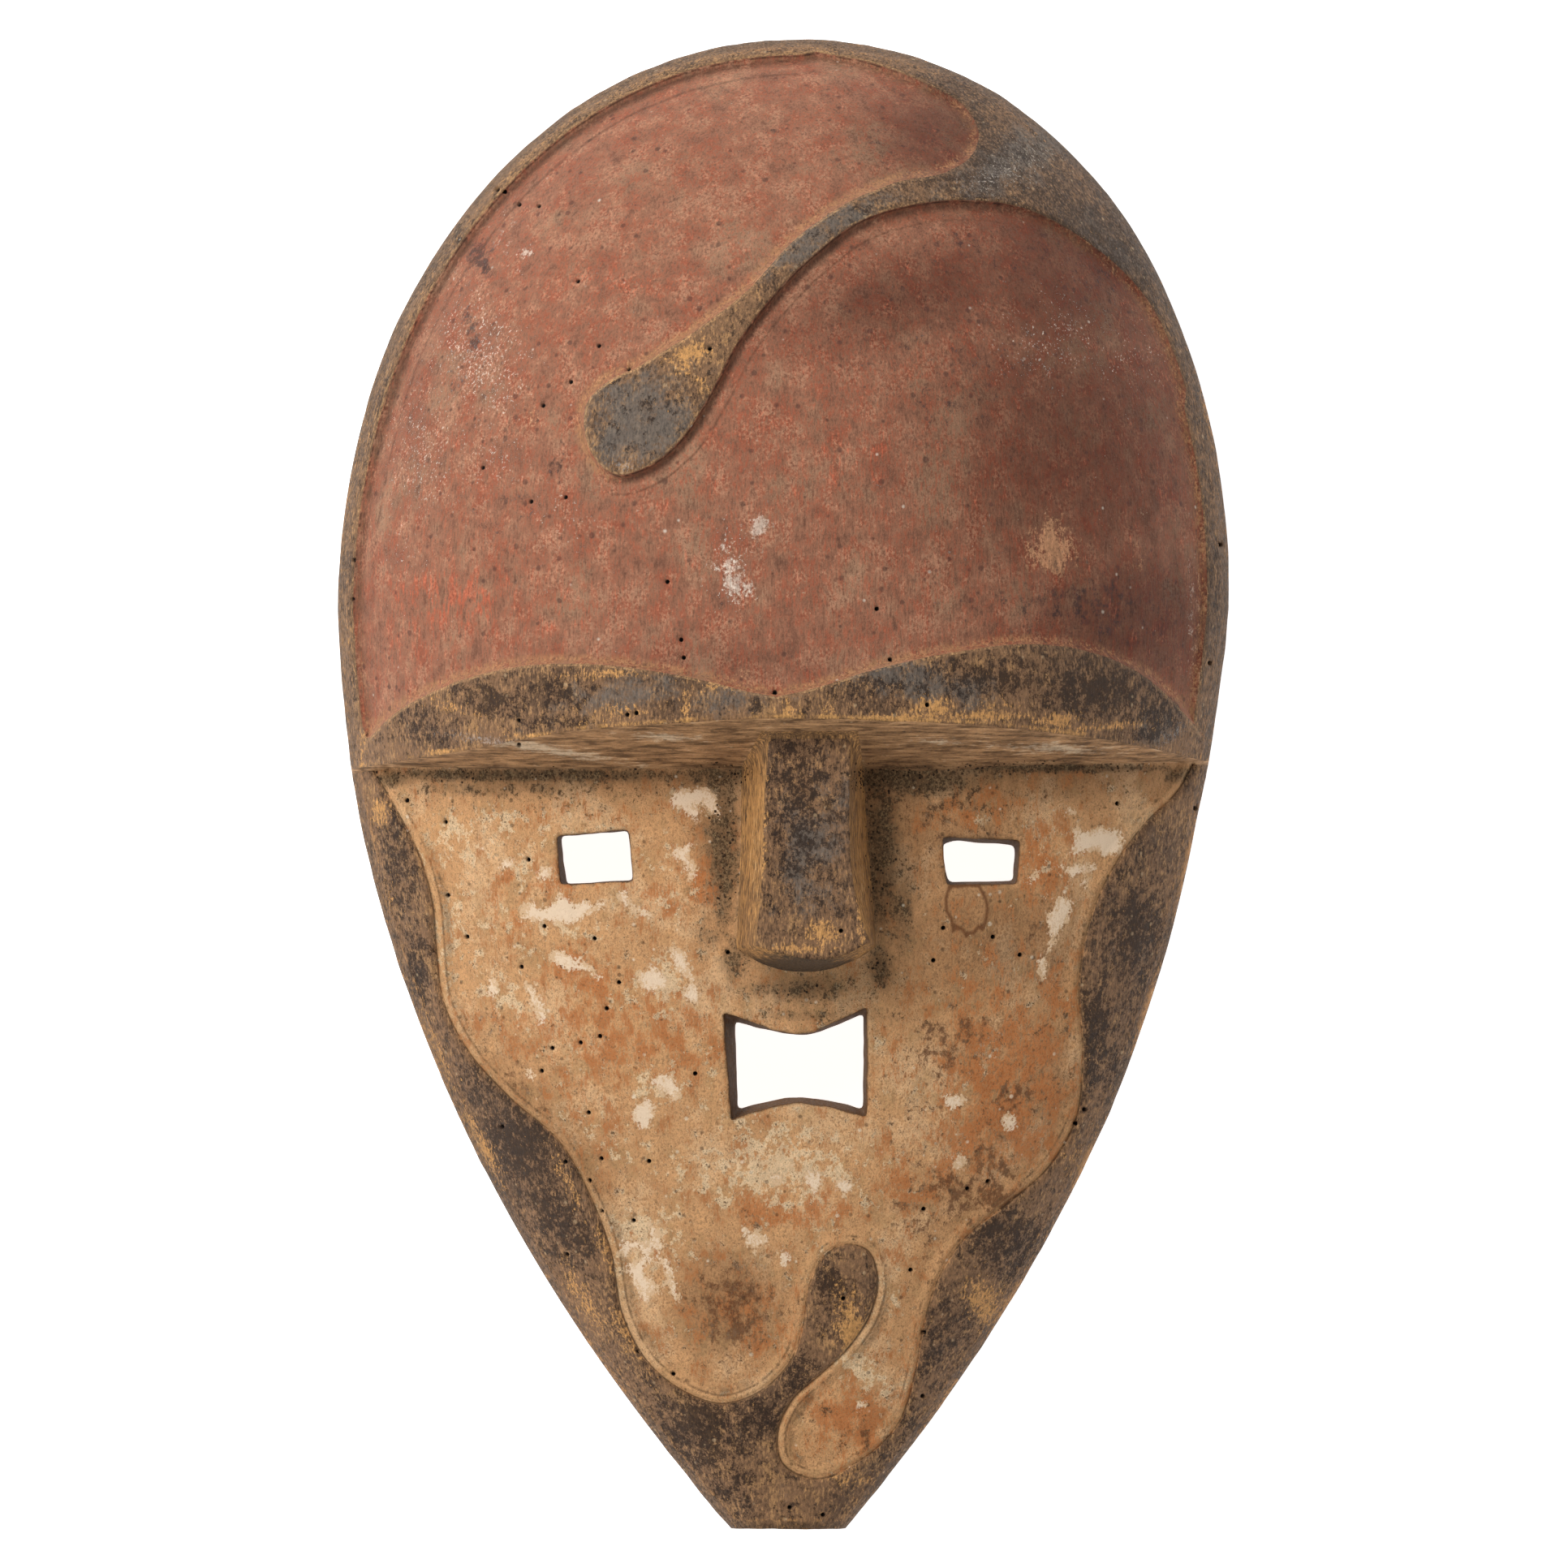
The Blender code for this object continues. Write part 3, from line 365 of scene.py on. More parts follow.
# Scraps of cream kaolin that are left on the face, each drawn round its edge
SCRAPS = (
    ((643, 1135), (647, 1114), (655, 1107), (664, 1118), (677, 1116), (687, 1110), (690, 1094),
     (696, 1107), (707, 1114), (720, 1109), (733, 1116), (746, 1109), (743, 1120), (725, 1125),
     (714, 1135), (701, 1140), (681, 1134), (664, 1135)),
    ((680, 1184), (681, 1174), (692, 1173), (710, 1181), (725, 1190), (744, 1205), (739, 1207),
     (725, 1198), (710, 1192), (701, 1196), (690, 1190)),
    ((645, 1209), (659, 1213), (662, 1226), (673, 1235), (674, 1252), (666, 1261), (662, 1248),
     (653, 1231), (647, 1222)),
    ((604, 1202), (612, 1205), (612, 1216), (617, 1226), (601, 1226), (604, 1213)),
    ((825, 1168), (840, 1170), (848, 1183), (853, 1205), (843, 1204), (832, 1190)),
    ((843, 1222), (853, 1205), (864, 1224), (864, 1237), (848, 1235)),
    ((785, 1205), (800, 1190), (815, 1196), (822, 1212), (806, 1220), (792, 1216)),
    ((765, 1100), (772, 1099), (777, 1111), (790, 1118), (806, 1126), (803, 1130), (785, 1123),
     (770, 1113)),
    ((825, 986), (840, 975), (868, 971), (883, 986), (887, 1004), (876, 1000), (866, 990),
     (852, 990), (858, 1000), (865, 1004), (858, 1013), (847, 1000), (832, 993)),
    ((830, 1050), (840, 1043), (852, 1042), (848, 1052), (856, 1066), (858, 1080), (850, 1086),
     (846, 1072), (840, 1060), (832, 1058)),
    ((785, 1361), (796, 1352), (806, 1357), (806, 1374), (801, 1388), (790, 1389), (783, 1380),
     (781, 1370)),
    ((800, 1330), (816, 1322), (831, 1328), (838, 1341), (833, 1354), (822, 1350), (812, 1338)),
    ((1322, 1016), (1330, 1024), (1349, 1024), (1357, 1021), (1368, 1024), (1379, 1021),
     (1384, 1036), (1376, 1052), (1357, 1057), (1350, 1047), (1336, 1049), (1320, 1052),
     (1324, 1039)),
    ((1301, 1064), (1314, 1068), (1330, 1065), (1352, 1063), (1350, 1072), (1336, 1076),
     (1320, 1080), (1312, 1073)),
    ((1329, 1084), (1340, 1081), (1338, 1091), (1332, 1095)),
    ((1300, 1106), (1309, 1102), (1322, 1114), (1317, 1130), (1306, 1146), (1298, 1159),
     (1290, 1175), (1287, 1172), (1293, 1143), (1289, 1124), (1298, 1119)),
    ((1269, 1081), (1277, 1072), (1275, 1084), (1267, 1088)),
    ((1314, 996), (1324, 997), (1321, 1004), (1316, 1002)),
    ((763, 1537), (770, 1527), (786, 1527), (800, 1536), (803, 1551), (794, 1562), (799, 1573),
     (815, 1585), (815, 1592), (802, 1592), (799, 1605), (792, 1602), (786, 1586), (774, 1567),
     (772, 1556), (784, 1556), (792, 1548), (786, 1538), (776, 1540), (772, 1549)),
    ((812, 1551), (821, 1551), (829, 1567), (833, 1586), (834, 1602), (830, 1597), (826, 1581),
     (818, 1565)),
    ((802, 1509), (812, 1517), (818, 1533), (812, 1541), (802, 1530), (799, 1517)),
    ((914, 1511), (928, 1517), (946, 1522), (948, 1530), (936, 1534), (929, 1543), (922, 1535),
     (917, 1522)),
    ((989, 1454), (997, 1444), (1012, 1444), (1013, 1458), (1004, 1468), (997, 1460)),
    ((1028, 1458), (1037, 1452), (1048, 1455), (1049, 1466), (1040, 1471), (1032, 1467)),
    ((952, 1450), (960, 1447), (964, 1454), (956, 1458)),
    ((961, 1543), (968, 1542), (973, 1551), (969, 1558), (964, 1557)),
    ((973, 1428), (983, 1428), (981, 1437), (975, 1436)),
    ((1163, 1350), (1180, 1347), (1192, 1352), (1186, 1362), (1172, 1366), (1164, 1360)),
    ((1238, 1376), (1248, 1372), (1251, 1382), (1246, 1393), (1238, 1388)),
    ((1175, 1426), (1184, 1421), (1188, 1432), (1183, 1446), (1176, 1440)),
    ((1280, 1182), (1287, 1179), (1290, 1192), (1284, 1204), (1279, 1196)),
    ((1056, 1728), (1061, 1725), (1065, 1730), (1060, 1735)),
    ((646, 1322), (654, 1315), (662, 1322), (658, 1330), (652, 1326)),
    ((615, 1068), (622, 1060), (634, 1062), (628, 1066), (620, 1073)),
    ((664, 1078), (672, 1066), (680, 1072), (676, 1082), (668, 1084)),
)
# The ring that water left under the right eye, with its drips
DRIP_RING = (
    (1169, 1092), (1165, 1107), (1166, 1122), (1172, 1132), (1174, 1147), (1179, 1141),
    (1186, 1145), (1190, 1153), (1194, 1149), (1199, 1149), (1205, 1141), (1210, 1145),
    (1214, 1134), (1216, 1119), (1214, 1107), (1209, 1098), (1206, 1092), (1194, 1090),
    (1181, 1092),
)

# Points drawn along the outline and between two points of a carved line
SIDE_POINTS = 240
CURVE_POINTS = 24
# At a corner of the red field, this many points of the rim give way to a softer turn
CORNER_EASING = 5
# Inside a loop, its every few points are enough for places farther from it than this
COARSE = 4
NEAR_MM = 2.0
# A distance that is out of reach of every mark
FAR_MM = 99.0
# How many points are looked at in one go
BATCH = 2000
TINY = 1e-9
SAME_PLACE = 0.002 * MM
MESH_GAP = 1e-7
# Loose points keep this share of their spacing clear of the lines, and lines this many mm
# clear of the border
CLEAR_SHARE = 0.62
INSET_LEAST = 0.3
# How far round a scrap of paint its distance is worked out, and the points along its edge
SCRAP_REACH = 4.0
SCRAP_STEP = 0.6 * MM
# The edges of the holes waver a little, as a knife leaves them
WAVER = 3 * MM
WAVER_SIZE = 0.22 * MM
WAVER_SEED = 11
PAINT, OUTER_WOOD, HOLLOW_WOOD = range(3)
# Hand work leaves the front uneven: size and height of the waves in mm, seed and stretch
HAND_WORK = (
    (26, 0.30, 1.0, (1, 1, 1)),
    (7, 0.14, 5.0, (1, 0.5, 1)),
    (2.6, 0.07, 9.0, (1, 0.35, 1)),
)
CRUST_LUMPS = (2.0, 0.28, 13.0, (1, 1, 1))
WAVE_OCTAVES = 2
SEED_WAY = (1, 2.3, -1)
# Gouge marks in the hollow, which fade out towards its lip; the back rim stays level
GOUGE_WIDTH = 9 * MM
GOUGE_LENGTH = 24 * MM
GOUGE_DEPTH = 0.55 * MM
GOUGE_REACH = 0.9
LIP_FADE = 4 * MM
LEVEL_RIM = 0.5 * MM
# Marks that stay on the front of the mask
FRONT_MARKS = ("crust", "bare", "soot", "groove")
# Grains of dirt, where the mark of crust and painted shade is stronger than this
CRUST_LEAST = 0.45
GRAIN_INPUTS = (
    ("Grains per square metre", 'NodeSocketFloat', 900000.0),
    ("Least size", 'NodeSocketFloat', 0.16 * MM),
    ("Greatest size", 'NodeSocketFloat', 0.42 * MM),
    ("Seed", 'NodeSocketInt', 7),
)
# The floor's sheet of paper, which glows a little so that it stays bright under the mask
FLOOR_SIZE = 40
FLOOR_DROP = 0.0002
FLOOR_ROUGHNESS = 0.95
FLOOR_GLOW = 0.9
# Studio light: each lamp's size in metres, its watts and its place; then the camera
WORLD_STRENGTH = 0.36
LAMPS = (
    ("window", 0.9, 25, (-0.75, 0.85, 1.5)),
    ("bounce", 1.6, 5, (-0.6, -1.1, 0.9)),
)
CAMERA_HEIGHT = 12.0
FOCUS_HEIGHT = 0.030
SENSOR = 36.0
FAR_CLIP = 100


def place(shares):
    """Turn shares of the half width and half length into metres."""
    return np.array(shares, dtype=float) * (HALF_WIDTH, HALF_LENGTH)


def spot(px, py):
    """The place on the plan of a pixel of the photograph."""
    u = (px - PHOTO_MIDDLE[0]) / PHOTO_HALF[0]
    v = (PHOTO_MIDDLE[1] - py) / PHOTO_HALF[1]
    return place((u, v))


def spots(pixels):
    """The places on the plan of a row of pixels."""
    return np.array([spot(px, py) for px, py in pixels])


def resample(line, step):
    """Space the points of an open line evenly, about one step apart."""
    gaps = np.hypot(*np.diff(line, axis=0).T)
    along = np.concatenate([[0.0], np.cumsum(gaps)])
    wanted = np.linspace(0.0, along[-1], max(2, int(round(along[-1] / step)) + 1))
    return np.column_stack([np.interp(wanted, along, line[:, axis]) for axis in (0, 1)])


def smooth(control, step):
    """Draw a smooth line through control points and space its points evenly."""
    control = np.array(control, dtype=float)
    if len(control) == 2:
        return resample(control, step)
    along = np.concatenate([[0.0], np.cumsum(np.hypot(*np.diff(control, axis=0).T))])
    slope = np.gradient(control, along, axis=0)
    t = np.linspace(0.0, 1.0, CURVE_POINTS, endpoint=False)[:, None]
    pieces = []
    for i in range(len(control) - 1):
        span = along[i + 1] - along[i]
        pieces.append(
            (2 * t**3 - 3 * t**2 + 1) * control[i]
            + (t**3 - 2 * t**2 + t) * span * slope[i]
            + (3 * t**2 - 2 * t**3) * control[i + 1]
            + (t**3 - t**2) * span * slope[i + 1]
        )
    return resample(np.vstack(pieces + [control[-1:]]), step)


def join(lines):
    """Join lines end to end into one closed loop, with a corner at each joint."""
    return np.vstack([line[:-1] for line in lines])


def sides_of(corners):
    """The straight sides of a loop, one for each corner."""
    return [np.vstack(pair) for pair in zip(corners, np.roll(corners, -1, axis=0))]


def closed(loop):
    """The same loop with its first point repeated at the end."""
    return np.vstack([loop, loop[:1]])


def nearest(points, line):
    """Which point of a line is nearest to each point."""
    tree = KDTree(len(line))
    for i, (x, y) in enumerate(line):
        tree.insert((x, y, 0), i)
    tree.balance()
    return np.array([tree.find((x, y, 0))[1] for x, y in points])


def distance_to(points, line):
    """Distance from each point to an open line whose points are close together."""
    near = nearest(points, line)
    best = np.full(len(points), np.inf)
    for first in (np.maximum(near - 1, 0), np.minimum(near, len(line) - 2)):
        start = line[first]
        run = line[first + 1] - start
        share = ((points - start) * run).sum(axis=1) / np.maximum((run**2).sum(axis=1), TINY**2)
        gap = points - start - np.clip(share, 0, 1)[:, None] * run
        best = np.minimum(best, np.hypot(*gap.T))
    return best


def inside(points, loop):
    """True for each point that lies inside a closed loop."""
    x1, y1 = loop.T
    x2, y2 = np.roll(loop, -1, axis=0).T
    slope = (x2 - x1) / np.where(y2 == y1, TINY, y2 - y1)
    found = []
    for part in np.array_split(points, max(1, len(points) // BATCH)):
        x, y = part[:, :1], part[:, 1:]
        crossing = ((y1 > y) != (y2 > y)) & (x < slope * (y - y1) + x1)
        found.append(crossing.sum(axis=1) % 2 == 1)
    return np.concatenate(found)


def inset(line, width):
    """Move a line to its left by a width, which is inward on a line drawn anticlockwise."""
    way = np.gradient(line, axis=0)
    way /= np.hypot(*way.T)[:, None]
    return line + width * np.column_stack([-way[:, 1], way[:, 0]])


def half_width(v):
    """Half width of the outline at a share of the half length."""
    above = np.clip((v - WIDEST) / (1 - WIDEST), 0, 1)
    below = np.clip((WIDEST - v) / (1 + WIDEST), 0, 1)
    crown = (1 - above**CROWN_ROUND) ** (1 / CROWN_ROUND)
    narrowing = 1 - JAW_TAPER - CHIN_WIDTH / (2 * HALF_WIDTH)
    return HALF_WIDTH * crown * (1 - JAW_TAPER * below - narrowing * below**JAW_CURVE)


def drift(v):
    """Sideways lean of the mask's middle line."""
    return HALF_WIDTH * np.interp(v, DRIFT_PLACES, DRIFT)


def bowed_side(width_at, bottom, top):
    """A line from the chin's right corner over the crown to its left corner."""
    turn = np.linspace(0, np.pi / 2, SIDE_POINTS)
    crown = WIDEST + (top - WIDEST) * np.sin(turn) ** (2 / CROWN_ROUND)
    v = np.concatenate([np.linspace(bottom, WIDEST, SIDE_POINTS, endpoint=False), crown])
    right = np.column_stack([drift(v) + width_at(v), v * HALF_LENGTH])
    left = np.column_stack([drift(v) - width_at(v), v * HALF_LENGTH])
    return np.vstack([right, left[-2::-1]])


def outline_side(step):
    """The outline without the straight cut of the chin."""
    return resample(bowed_side(half_width, -1.0, 1.0), step)


def outline(step):
    """The whole outline as a loop, with the chin cut off straight."""
    side = outline_side(step)
    return join([side, resample(np.vstack([side[-1], side[0]]), step)])


def hollow_half_width(v):
    """Half width of the hollow's mouth at a share of the half length."""
    top, bottom = 1 - RIM_WIDTH / HALF_LENGTH, -1 + CHIN_WALL / HALF_LENGTH
    above = np.clip((v - WIDEST) / (top - WIDEST), 0, 1)
    crown = (HALF_WIDTH - RIM_WIDTH) * (1 - above**CROWN_ROUND) ** (1 / CROWN_ROUND)
    jaw = np.maximum(half_width(np.maximum(v, bottom)) - RIM_WIDTH, CHIN_WIDTH / 4)
    return np.where(v > WIDEST, crown, jaw)


def hollow_outline(step):
    """Loop round the hollow's mouth on the back of the mask."""
    top, bottom = 1 - RIM_WIDTH / HALF_LENGTH, -1 + CHIN_WALL / HALF_LENGTH
    side = resample(bowed_side(hollow_half_width, bottom, top), step)
    return join([side, resample(np.vstack([side[-1], side[0]]), step)])


def rim_run(start, end, width):
    """The outline between the places nearest two points, moved inward by a width."""
    side = inset(outline_side(LINE_STEP), width)
    first, last = (np.hypot(*(side - corner).T).argmin() for corner in (start, end))
    if first < last:
        return side[first:last + 1]
    return side[last:first + 1][::-1]


def forehead_field():
    """Loop round the sunk red field, which winds about the raised sweep."""
    sweep = smooth(place(SWEEP_LOWER + SWEEP_HEAD + SWEEP_UPPER), LINE_STEP)
    brow_left = smooth(place(BROW_TOP_LEFT), LINE_STEP)
    brow_right = smooth(place(BROW_TOP_RIGHT), LINE_STEP)
    right = rim_run(brow_right[-1], sweep[0], RIGHT_BAND)
    left = rim_run(sweep[-1], brow_left[0], LEFT_BAND)
    right = np.vstack([brow_right[-1], right[CORNER_EASING:-CORNER_EASING], sweep[0]])
    left = np.vstack([sweep[-1], left[CORNER_EASING:-CORNER_EASING], brow_left[0]])
    sides = [brow_left, brow_right, resample(right, LINE_STEP), sweep, resample(left, LINE_STEP)]
    return join(sides)


def face_line():
    """The carved line round the sunk face field, from the left temple to the right one."""
    strokes = CHEEK_LEFT + CHIN_LOBE_LEFT + CHIN_TONGUE + CHIN_LOBE_RIGHT + CHEEK_RIGHT
    return smooth(place(strokes), LINE_STEP)


FOREHEAD_FIELD = forehead_field()
FACE_LINE = face_line()
HIDDEN = 2 * BROW_MIDDLE * HALF_LENGTH
FACE_FIELD = closed(np.vstack([FACE_LINE, (FACE_LINE[-1][0], HIDDEN), (FACE_LINE[0][0], HIDDEN)]))
FACE_FIELD = resample(FACE_FIELD, LINE_STEP)[:-1]
BROW_EDGE_LINE = smooth(place(BROW_EDGE), LINE_STEP)
BROW_FOOT_LINE = smooth(place(BROW_FOOT), LINE_STEP)
NOSE_CREST_LOOP = join([smooth(place(side), LINE_STEP) for side in NOSE_CREST])
NOSE_FOOT_LOOP = join([smooth(place(side), LINE_STEP) for side in NOSE_FOOT])
DRIP_LOOP = join([resample(side, LINE_STEP) for side in sides_of(spots(DRIP_RING))])


def into(points, loop):
    """Millimetres from a closed line, counted positive inside it."""
    gap = distance_to(points, closed(loop)) / MM
    within = inside(points, loop[::COARSE])
    close = gap < NEAR_MM
    within[close] = inside(points[close], loop)
    return np.where(within, gap, -gap)


def lee_of(points, loop, gap):
    """How far the edge nearest to each point turns away from the light, from 0 to 1."""
    way = points - loop[nearest(points, loop)]
    way *= np.sign(gap)[:, None] / np.maximum(np.hypot(*way.T), TINY)[:, None]
    return np.clip(way @ LEE_WAY, 0, 1)


def edge_height(v):
    """Height of the mask's outer edge above the back rim."""
    return np.interp(v, EDGE_PLACES, EDGE_HEIGHTS)


def forehead_height(x, y):
    """A dome over the forehead that flares a little towards the brow."""
    v = y / HALF_LENGTH
    across = np.abs(x - drift(v)) / np.where(v > WIDEST, HALF_WIDTH, half_width(v))
    up = np.clip((v - WIDEST) / (1 - WIDEST), 0, 1)
    reach = np.clip((across**CROWN_ROUND + up**CROWN_ROUND) ** (1 / CROWN_ROUND), 0, 1)
    fullness = (1 - reach**FOREHEAD_POWER) ** FOREHEAD_FALL
    flare = BROW_FLARE * np.exp(-((v - BROW_MIDDLE) / FLARE_REACH) ** 2) * fullness
    edge = edge_height(v)
    return edge + (FOREHEAD_HEIGHT - edge) * fullness + flare


def face_height(x, y):
    """The face: nearly flat in the middle, rounded to the cheeks and falling to the chin."""
    v = y / HALF_LENGTH
    across = np.clip(np.abs(x - drift(v)) / half_width(v), 0, 1)
    middle = FACE_HEIGHT_CHIN + (FACE_HEIGHT_TOP - FACE_HEIGHT_CHIN) * (
        1 - np.clip(-v, 0, 1) ** FACE_DROP)
    edge = edge_height(v)
    return edge + (middle - edge) * (1 - across**FACE_POWER) ** FACE_FALL


def hollow_height(points):
    """The inside of the mask: a deep bowl behind the forehead, a shallower one below it."""
    v = points[:, 1] / HALF_LENGTH
    rim = HALF_WIDTH - RIM_WIDTH
    across = np.abs(points[:, 0] - drift(v)) / np.where(v > WIDEST, rim, hollow_half_width(v))
    top = 1 - RIM_WIDTH / HALF_LENGTH
    up = np.clip((v - WIDEST) / (top - WIDEST), 0, 1)
    reach = np.clip((across**CROWN_ROUND + up**CROWN_ROUND) ** (1 / CROWN_ROUND), 0, 1)
    step = np.clip(v / HOLLOW_STEP, 0, 1)
    step = step**2 * (3 - 2 * step)
    down = np.clip(-v / (1 - CHIN_WALL / HALF_LENGTH), 0, 1)
    face = (FACE_HEIGHT_CHIN + (FACE_HEIGHT_TOP - FACE_HEIGHT_CHIN) * (1 - down**FACE_DROP)
            - WALL)
    middle = face + (FOREHEAD_HEIGHT - WALL - face) * step
    return RIM_LIP + (middle - RIM_LIP) * (1 - reach**HOLLOW_POWER) ** HOLLOW_FALL


def front_height(points, sunk):
    """The whole front surface, lowered by the carved relief. The nose falls to its foot."""
    x, y = points.T
    top = np.interp(x, *BROW_EDGE_LINE.T)
    foot = np.interp(x, *BROW_FOOT_LINE.T)
    forehead = forehead_height(x, y) + sunk["forehead"]
    face = face_height(x, y) + sunk["face"]
    crest = forehead_height(x, top)
    base = face_height(x, foot) + sunk["foot"]
    share = np.clip((top - y) / (top - foot), 0, 1)
    slope = crest + (base - crest) * share
    ground = np.where(y >= top, forehead, np.where(y <= foot, face, slope))
    down = np.clip((NOSE_TOP - y / HALF_LENGTH) / (NOSE_TOP - NOSE_TIP), 0, 1)
    ridge = NOSE_HEIGHT_TOP + (NOSE_HEIGHT_TIP - NOSE_HEIGHT_TOP) * down
    to_crest = distance_to(points, closed(NOSE_CREST_LOOP))
    to_foot = distance_to(points, closed(NOSE_FOOT_LOOP))
    share = to_crest / np.maximum(to_crest + to_foot, TINY)
    share = np.where(inside(points, NOSE_CREST_LOOP), 0.0, share)
    on_nose = inside(points, NOSE_FOOT_LOOP)
    return np.where(on_nose, ridge + (ground - ridge) * share, ground)


def plan_mesh(border, lines, openings, dots, step):
    """Triangles over the plan inside a border, with an edge along every carved line."""
    points, edges = [], []
    lines = [(line[into(line, border) > INSET_LEAST], is_loop) for line, is_loop in lines]
    lines = [(line, is_loop) for line, is_loop in lines if len(line) > 1]
    for line, is_loop in [(border, True)] + lines + [(loop, True) for loop in openings]:
        first = len(points)
        points.extend(map(tuple, line))
        edges.extend((first + i, first + i + 1) for i in range(len(line) - 1))
        if is_loop:
            edges.append((first + len(line) - 1, first))
    points.extend(dots)
    tree = KDTree(len(points))
    for i, (x, y) in enumerate(points):
        tree.insert((x, y, 0), i)
    tree.balance()
    low, high = border.min(axis=0), border.max(axis=0)
    rows = np.arange(low[1], high[1], step * math.sqrt(3) / 2)
    grid = np.array([
        (x + (row % 2) * step / 2, y)
        for row, y in enumerate(rows)
        for x in np.arange(low[0], high[0], step)
    ])
    grid = grid[inside(grid, border)]
    clear = [tree.find((x, y, 0))[2] > step * CLEAR_SHARE for x, y in grid]
    points.extend(map(tuple, grid[np.array(clear)]))
    found = delaunay_2d_cdt(points, edges, [], 1, MESH_GAP, False)
    plan = np.array([tuple(point) for point in found[0]])
    faces = np.array([face for face in found[2] if len(face) == 3])
    middles = plan[faces].mean(axis=1)
    kept = inside(middles, border)
    for loop in openings:
        kept &= ~inside(middles, loop)
    return plan, faces[kept]


class Skin:
    """The mask's surface, gathered sheet by sheet, with a finish for each face."""

    def __init__(self):
        self.bm = bmesh.new()

    def sheet(self, points, faces, finish, up):
        """Add a triangle sheet that faces up, or down where up is False."""
        verts = [self.bm.verts.new(point) for point in points]
        for a, b, c in faces:
            turn = np.cross(points[b][:2] - points[a][:2], points[c][:2] - points[a][:2])
            corners = (a, b, c) if (turn > 0) == up else (a, c, b)
            self.bm.faces.new([verts[i] for i in corners]).material_index = finish

    def band(self, loops, finish):
        """Add a wall of quads through a row of loops, each with as many points."""
        rows = [[self.bm.verts.new(point) for point in loop] for loop in loops]
        for upper, lower in zip(rows, rows[1:]):
            for i in range(len(upper)):
                j = (i + 1) % len(upper)
                face = self.bm.faces.new((upper[i], lower[i], lower[j], upper[j]))
                face.material_index = finish


def hole_loop(corners, step, seed):
    """A hand-cut opening: straight sides that waver a little between softened corners."""
    loop = join([resample(side, step) for side in sides_of(place(corners))])
    waver = np.array([
        noise.noise_vector(Vector((x / WAVER, y / WAVER, seed)))[:2] for x, y in loop
    ])
    loop = loop + waver * WAVER_SIZE
    return (np.roll(loop, 1, axis=0) + 2 * loop + np.roll(loop, -1, axis=0)) / 4


def relief(points):
    """Depth of the sunk fields below the bands, in metres."""
    foot = np.column_stack([points[:, 0], np.interp(points[:, 0], *BROW_FOOT_LINE.T)])
    sunk = {}
    for name, at, loop, section, depth in (
        ("forehead", points, FOREHEAD_FIELD, RED_SECTION, RED_DEPTH),
        ("face", points, FACE_FIELD, FACE_SECTION, FACE_DEPTH),
        ("foot", foot, FACE_FIELD, FACE_SECTION, FACE_DEPTH),
    ):
        gap = into(at, loop)
        sunk[name] = np.interp(gap, section, depth) * MM
        if name == "forehead":
            scoop = np.interp(gap, LEE_SECTION, LEE_DEPTH) * MM
            sunk[name] += scoop * lee_of(at, loop, gap)
    from_rim = distance_to(points, closed(outline(LINE_STEP))) / MM
    ridge = np.interp(from_rim, RIM_SECTION, RIM_RISE) * MM
    for name in ("forehead", "face"):
        sunk[name] += ridge
    return sunk


def brush(points, strokes):
    """How strongly the listed soft strokes cover each point, from 0 to 1."""
    cover = np.zeros(len(points))
    for px, py, wide, tall, turn, strength in strokes:
        offset = (points - spot(px, py)) / PIXEL
        c, s = math.cos(math.radians(turn)), math.sin(math.radians(turn))
        along = (offset[:, 0] * c + offset[:, 1] * s) / wide
        across = (offset[:, 1] * c - offset[:, 0] * s) / tall
        cover = np.maximum(cover, strength * np.exp(-(along**2 + across**2)))
    return cover


def scrap_depth(points):
    """Millimetres inside the nearest scrap of cream paint, negative outside."""
    depth = np.full(len(points), -SCRAP_REACH)
    for corners in SCRAPS:
        loop = join([resample(side, SCRAP_STEP) for side in sides_of(spots(corners))])
        low, high = loop.min(axis=0) - SCRAP_REACH * MM, loop.max(axis=0) + SCRAP_REACH * MM
        near = ((points > low) & (points < high)).all(axis=1)
        if near.any():
            gap = distance_to(points[near], closed(loop)) / MM
            gap = np.where(inside(points[near], loop), gap, -gap)
            depth[near] = np.maximum(depth[near], gap)
    return depth


def loft(front, back, rows):
    """Loops that lead from one loop of 3-D points to another."""
    return [front + (back - front) * share for share in np.linspace(0, 1, rows + 1)]


def match(loop, count):
    """A loop with its points spread so that there are as many as wanted."""
    around = closed(loop)
    shares = np.linspace(0, len(loop), count, endpoint=False)
    return np.column_stack([
        np.interp(shares, np.arange(len(around)), around[:, axis]) for axis in (0, 1)
    ])


def plan_lines():
    """The carved lines that the front's triangles follow, each with whether it is a loop."""
    lines = [(BROW_EDGE_LINE, False), (BROW_FOOT_LINE, False)]
    lines += [(NOSE_CREST_LOOP, True), (NOSE_FOOT_LOOP, True), (DRIP_LOOP, True)]
    for width in RED_LINES:
        lines.append((inset(closed(FOREHEAD_FIELD), width * MM)[:-1], True))
    for width in FACE_LINES:
        lines.append((inset(FACE_LINE, width * MM), False))
    for width in RIM_LINES:
        lines.append((inset(outline_side(RIM_STEP), width * MM), False))
    return lines


def wormhole_dots():
    """A ring of points round each beetle hole's mouth and floor, and one in its middle."""
    dots = []
    for x, y in spots(WORMHOLES):
        dots.append((x, y))
        for radius, count in WORMHOLE_RINGS:
            for turn in np.linspace(0, 2 * math.pi, count, endpoint=False):
                dots.append((x + radius * math.cos(turn), y + radius * math.sin(turn)))
    return dots


def on_front(plan):
    """Points of the plan raised to the front surface."""
    return np.column_stack([plan, front_height(plan, relief(plan))])


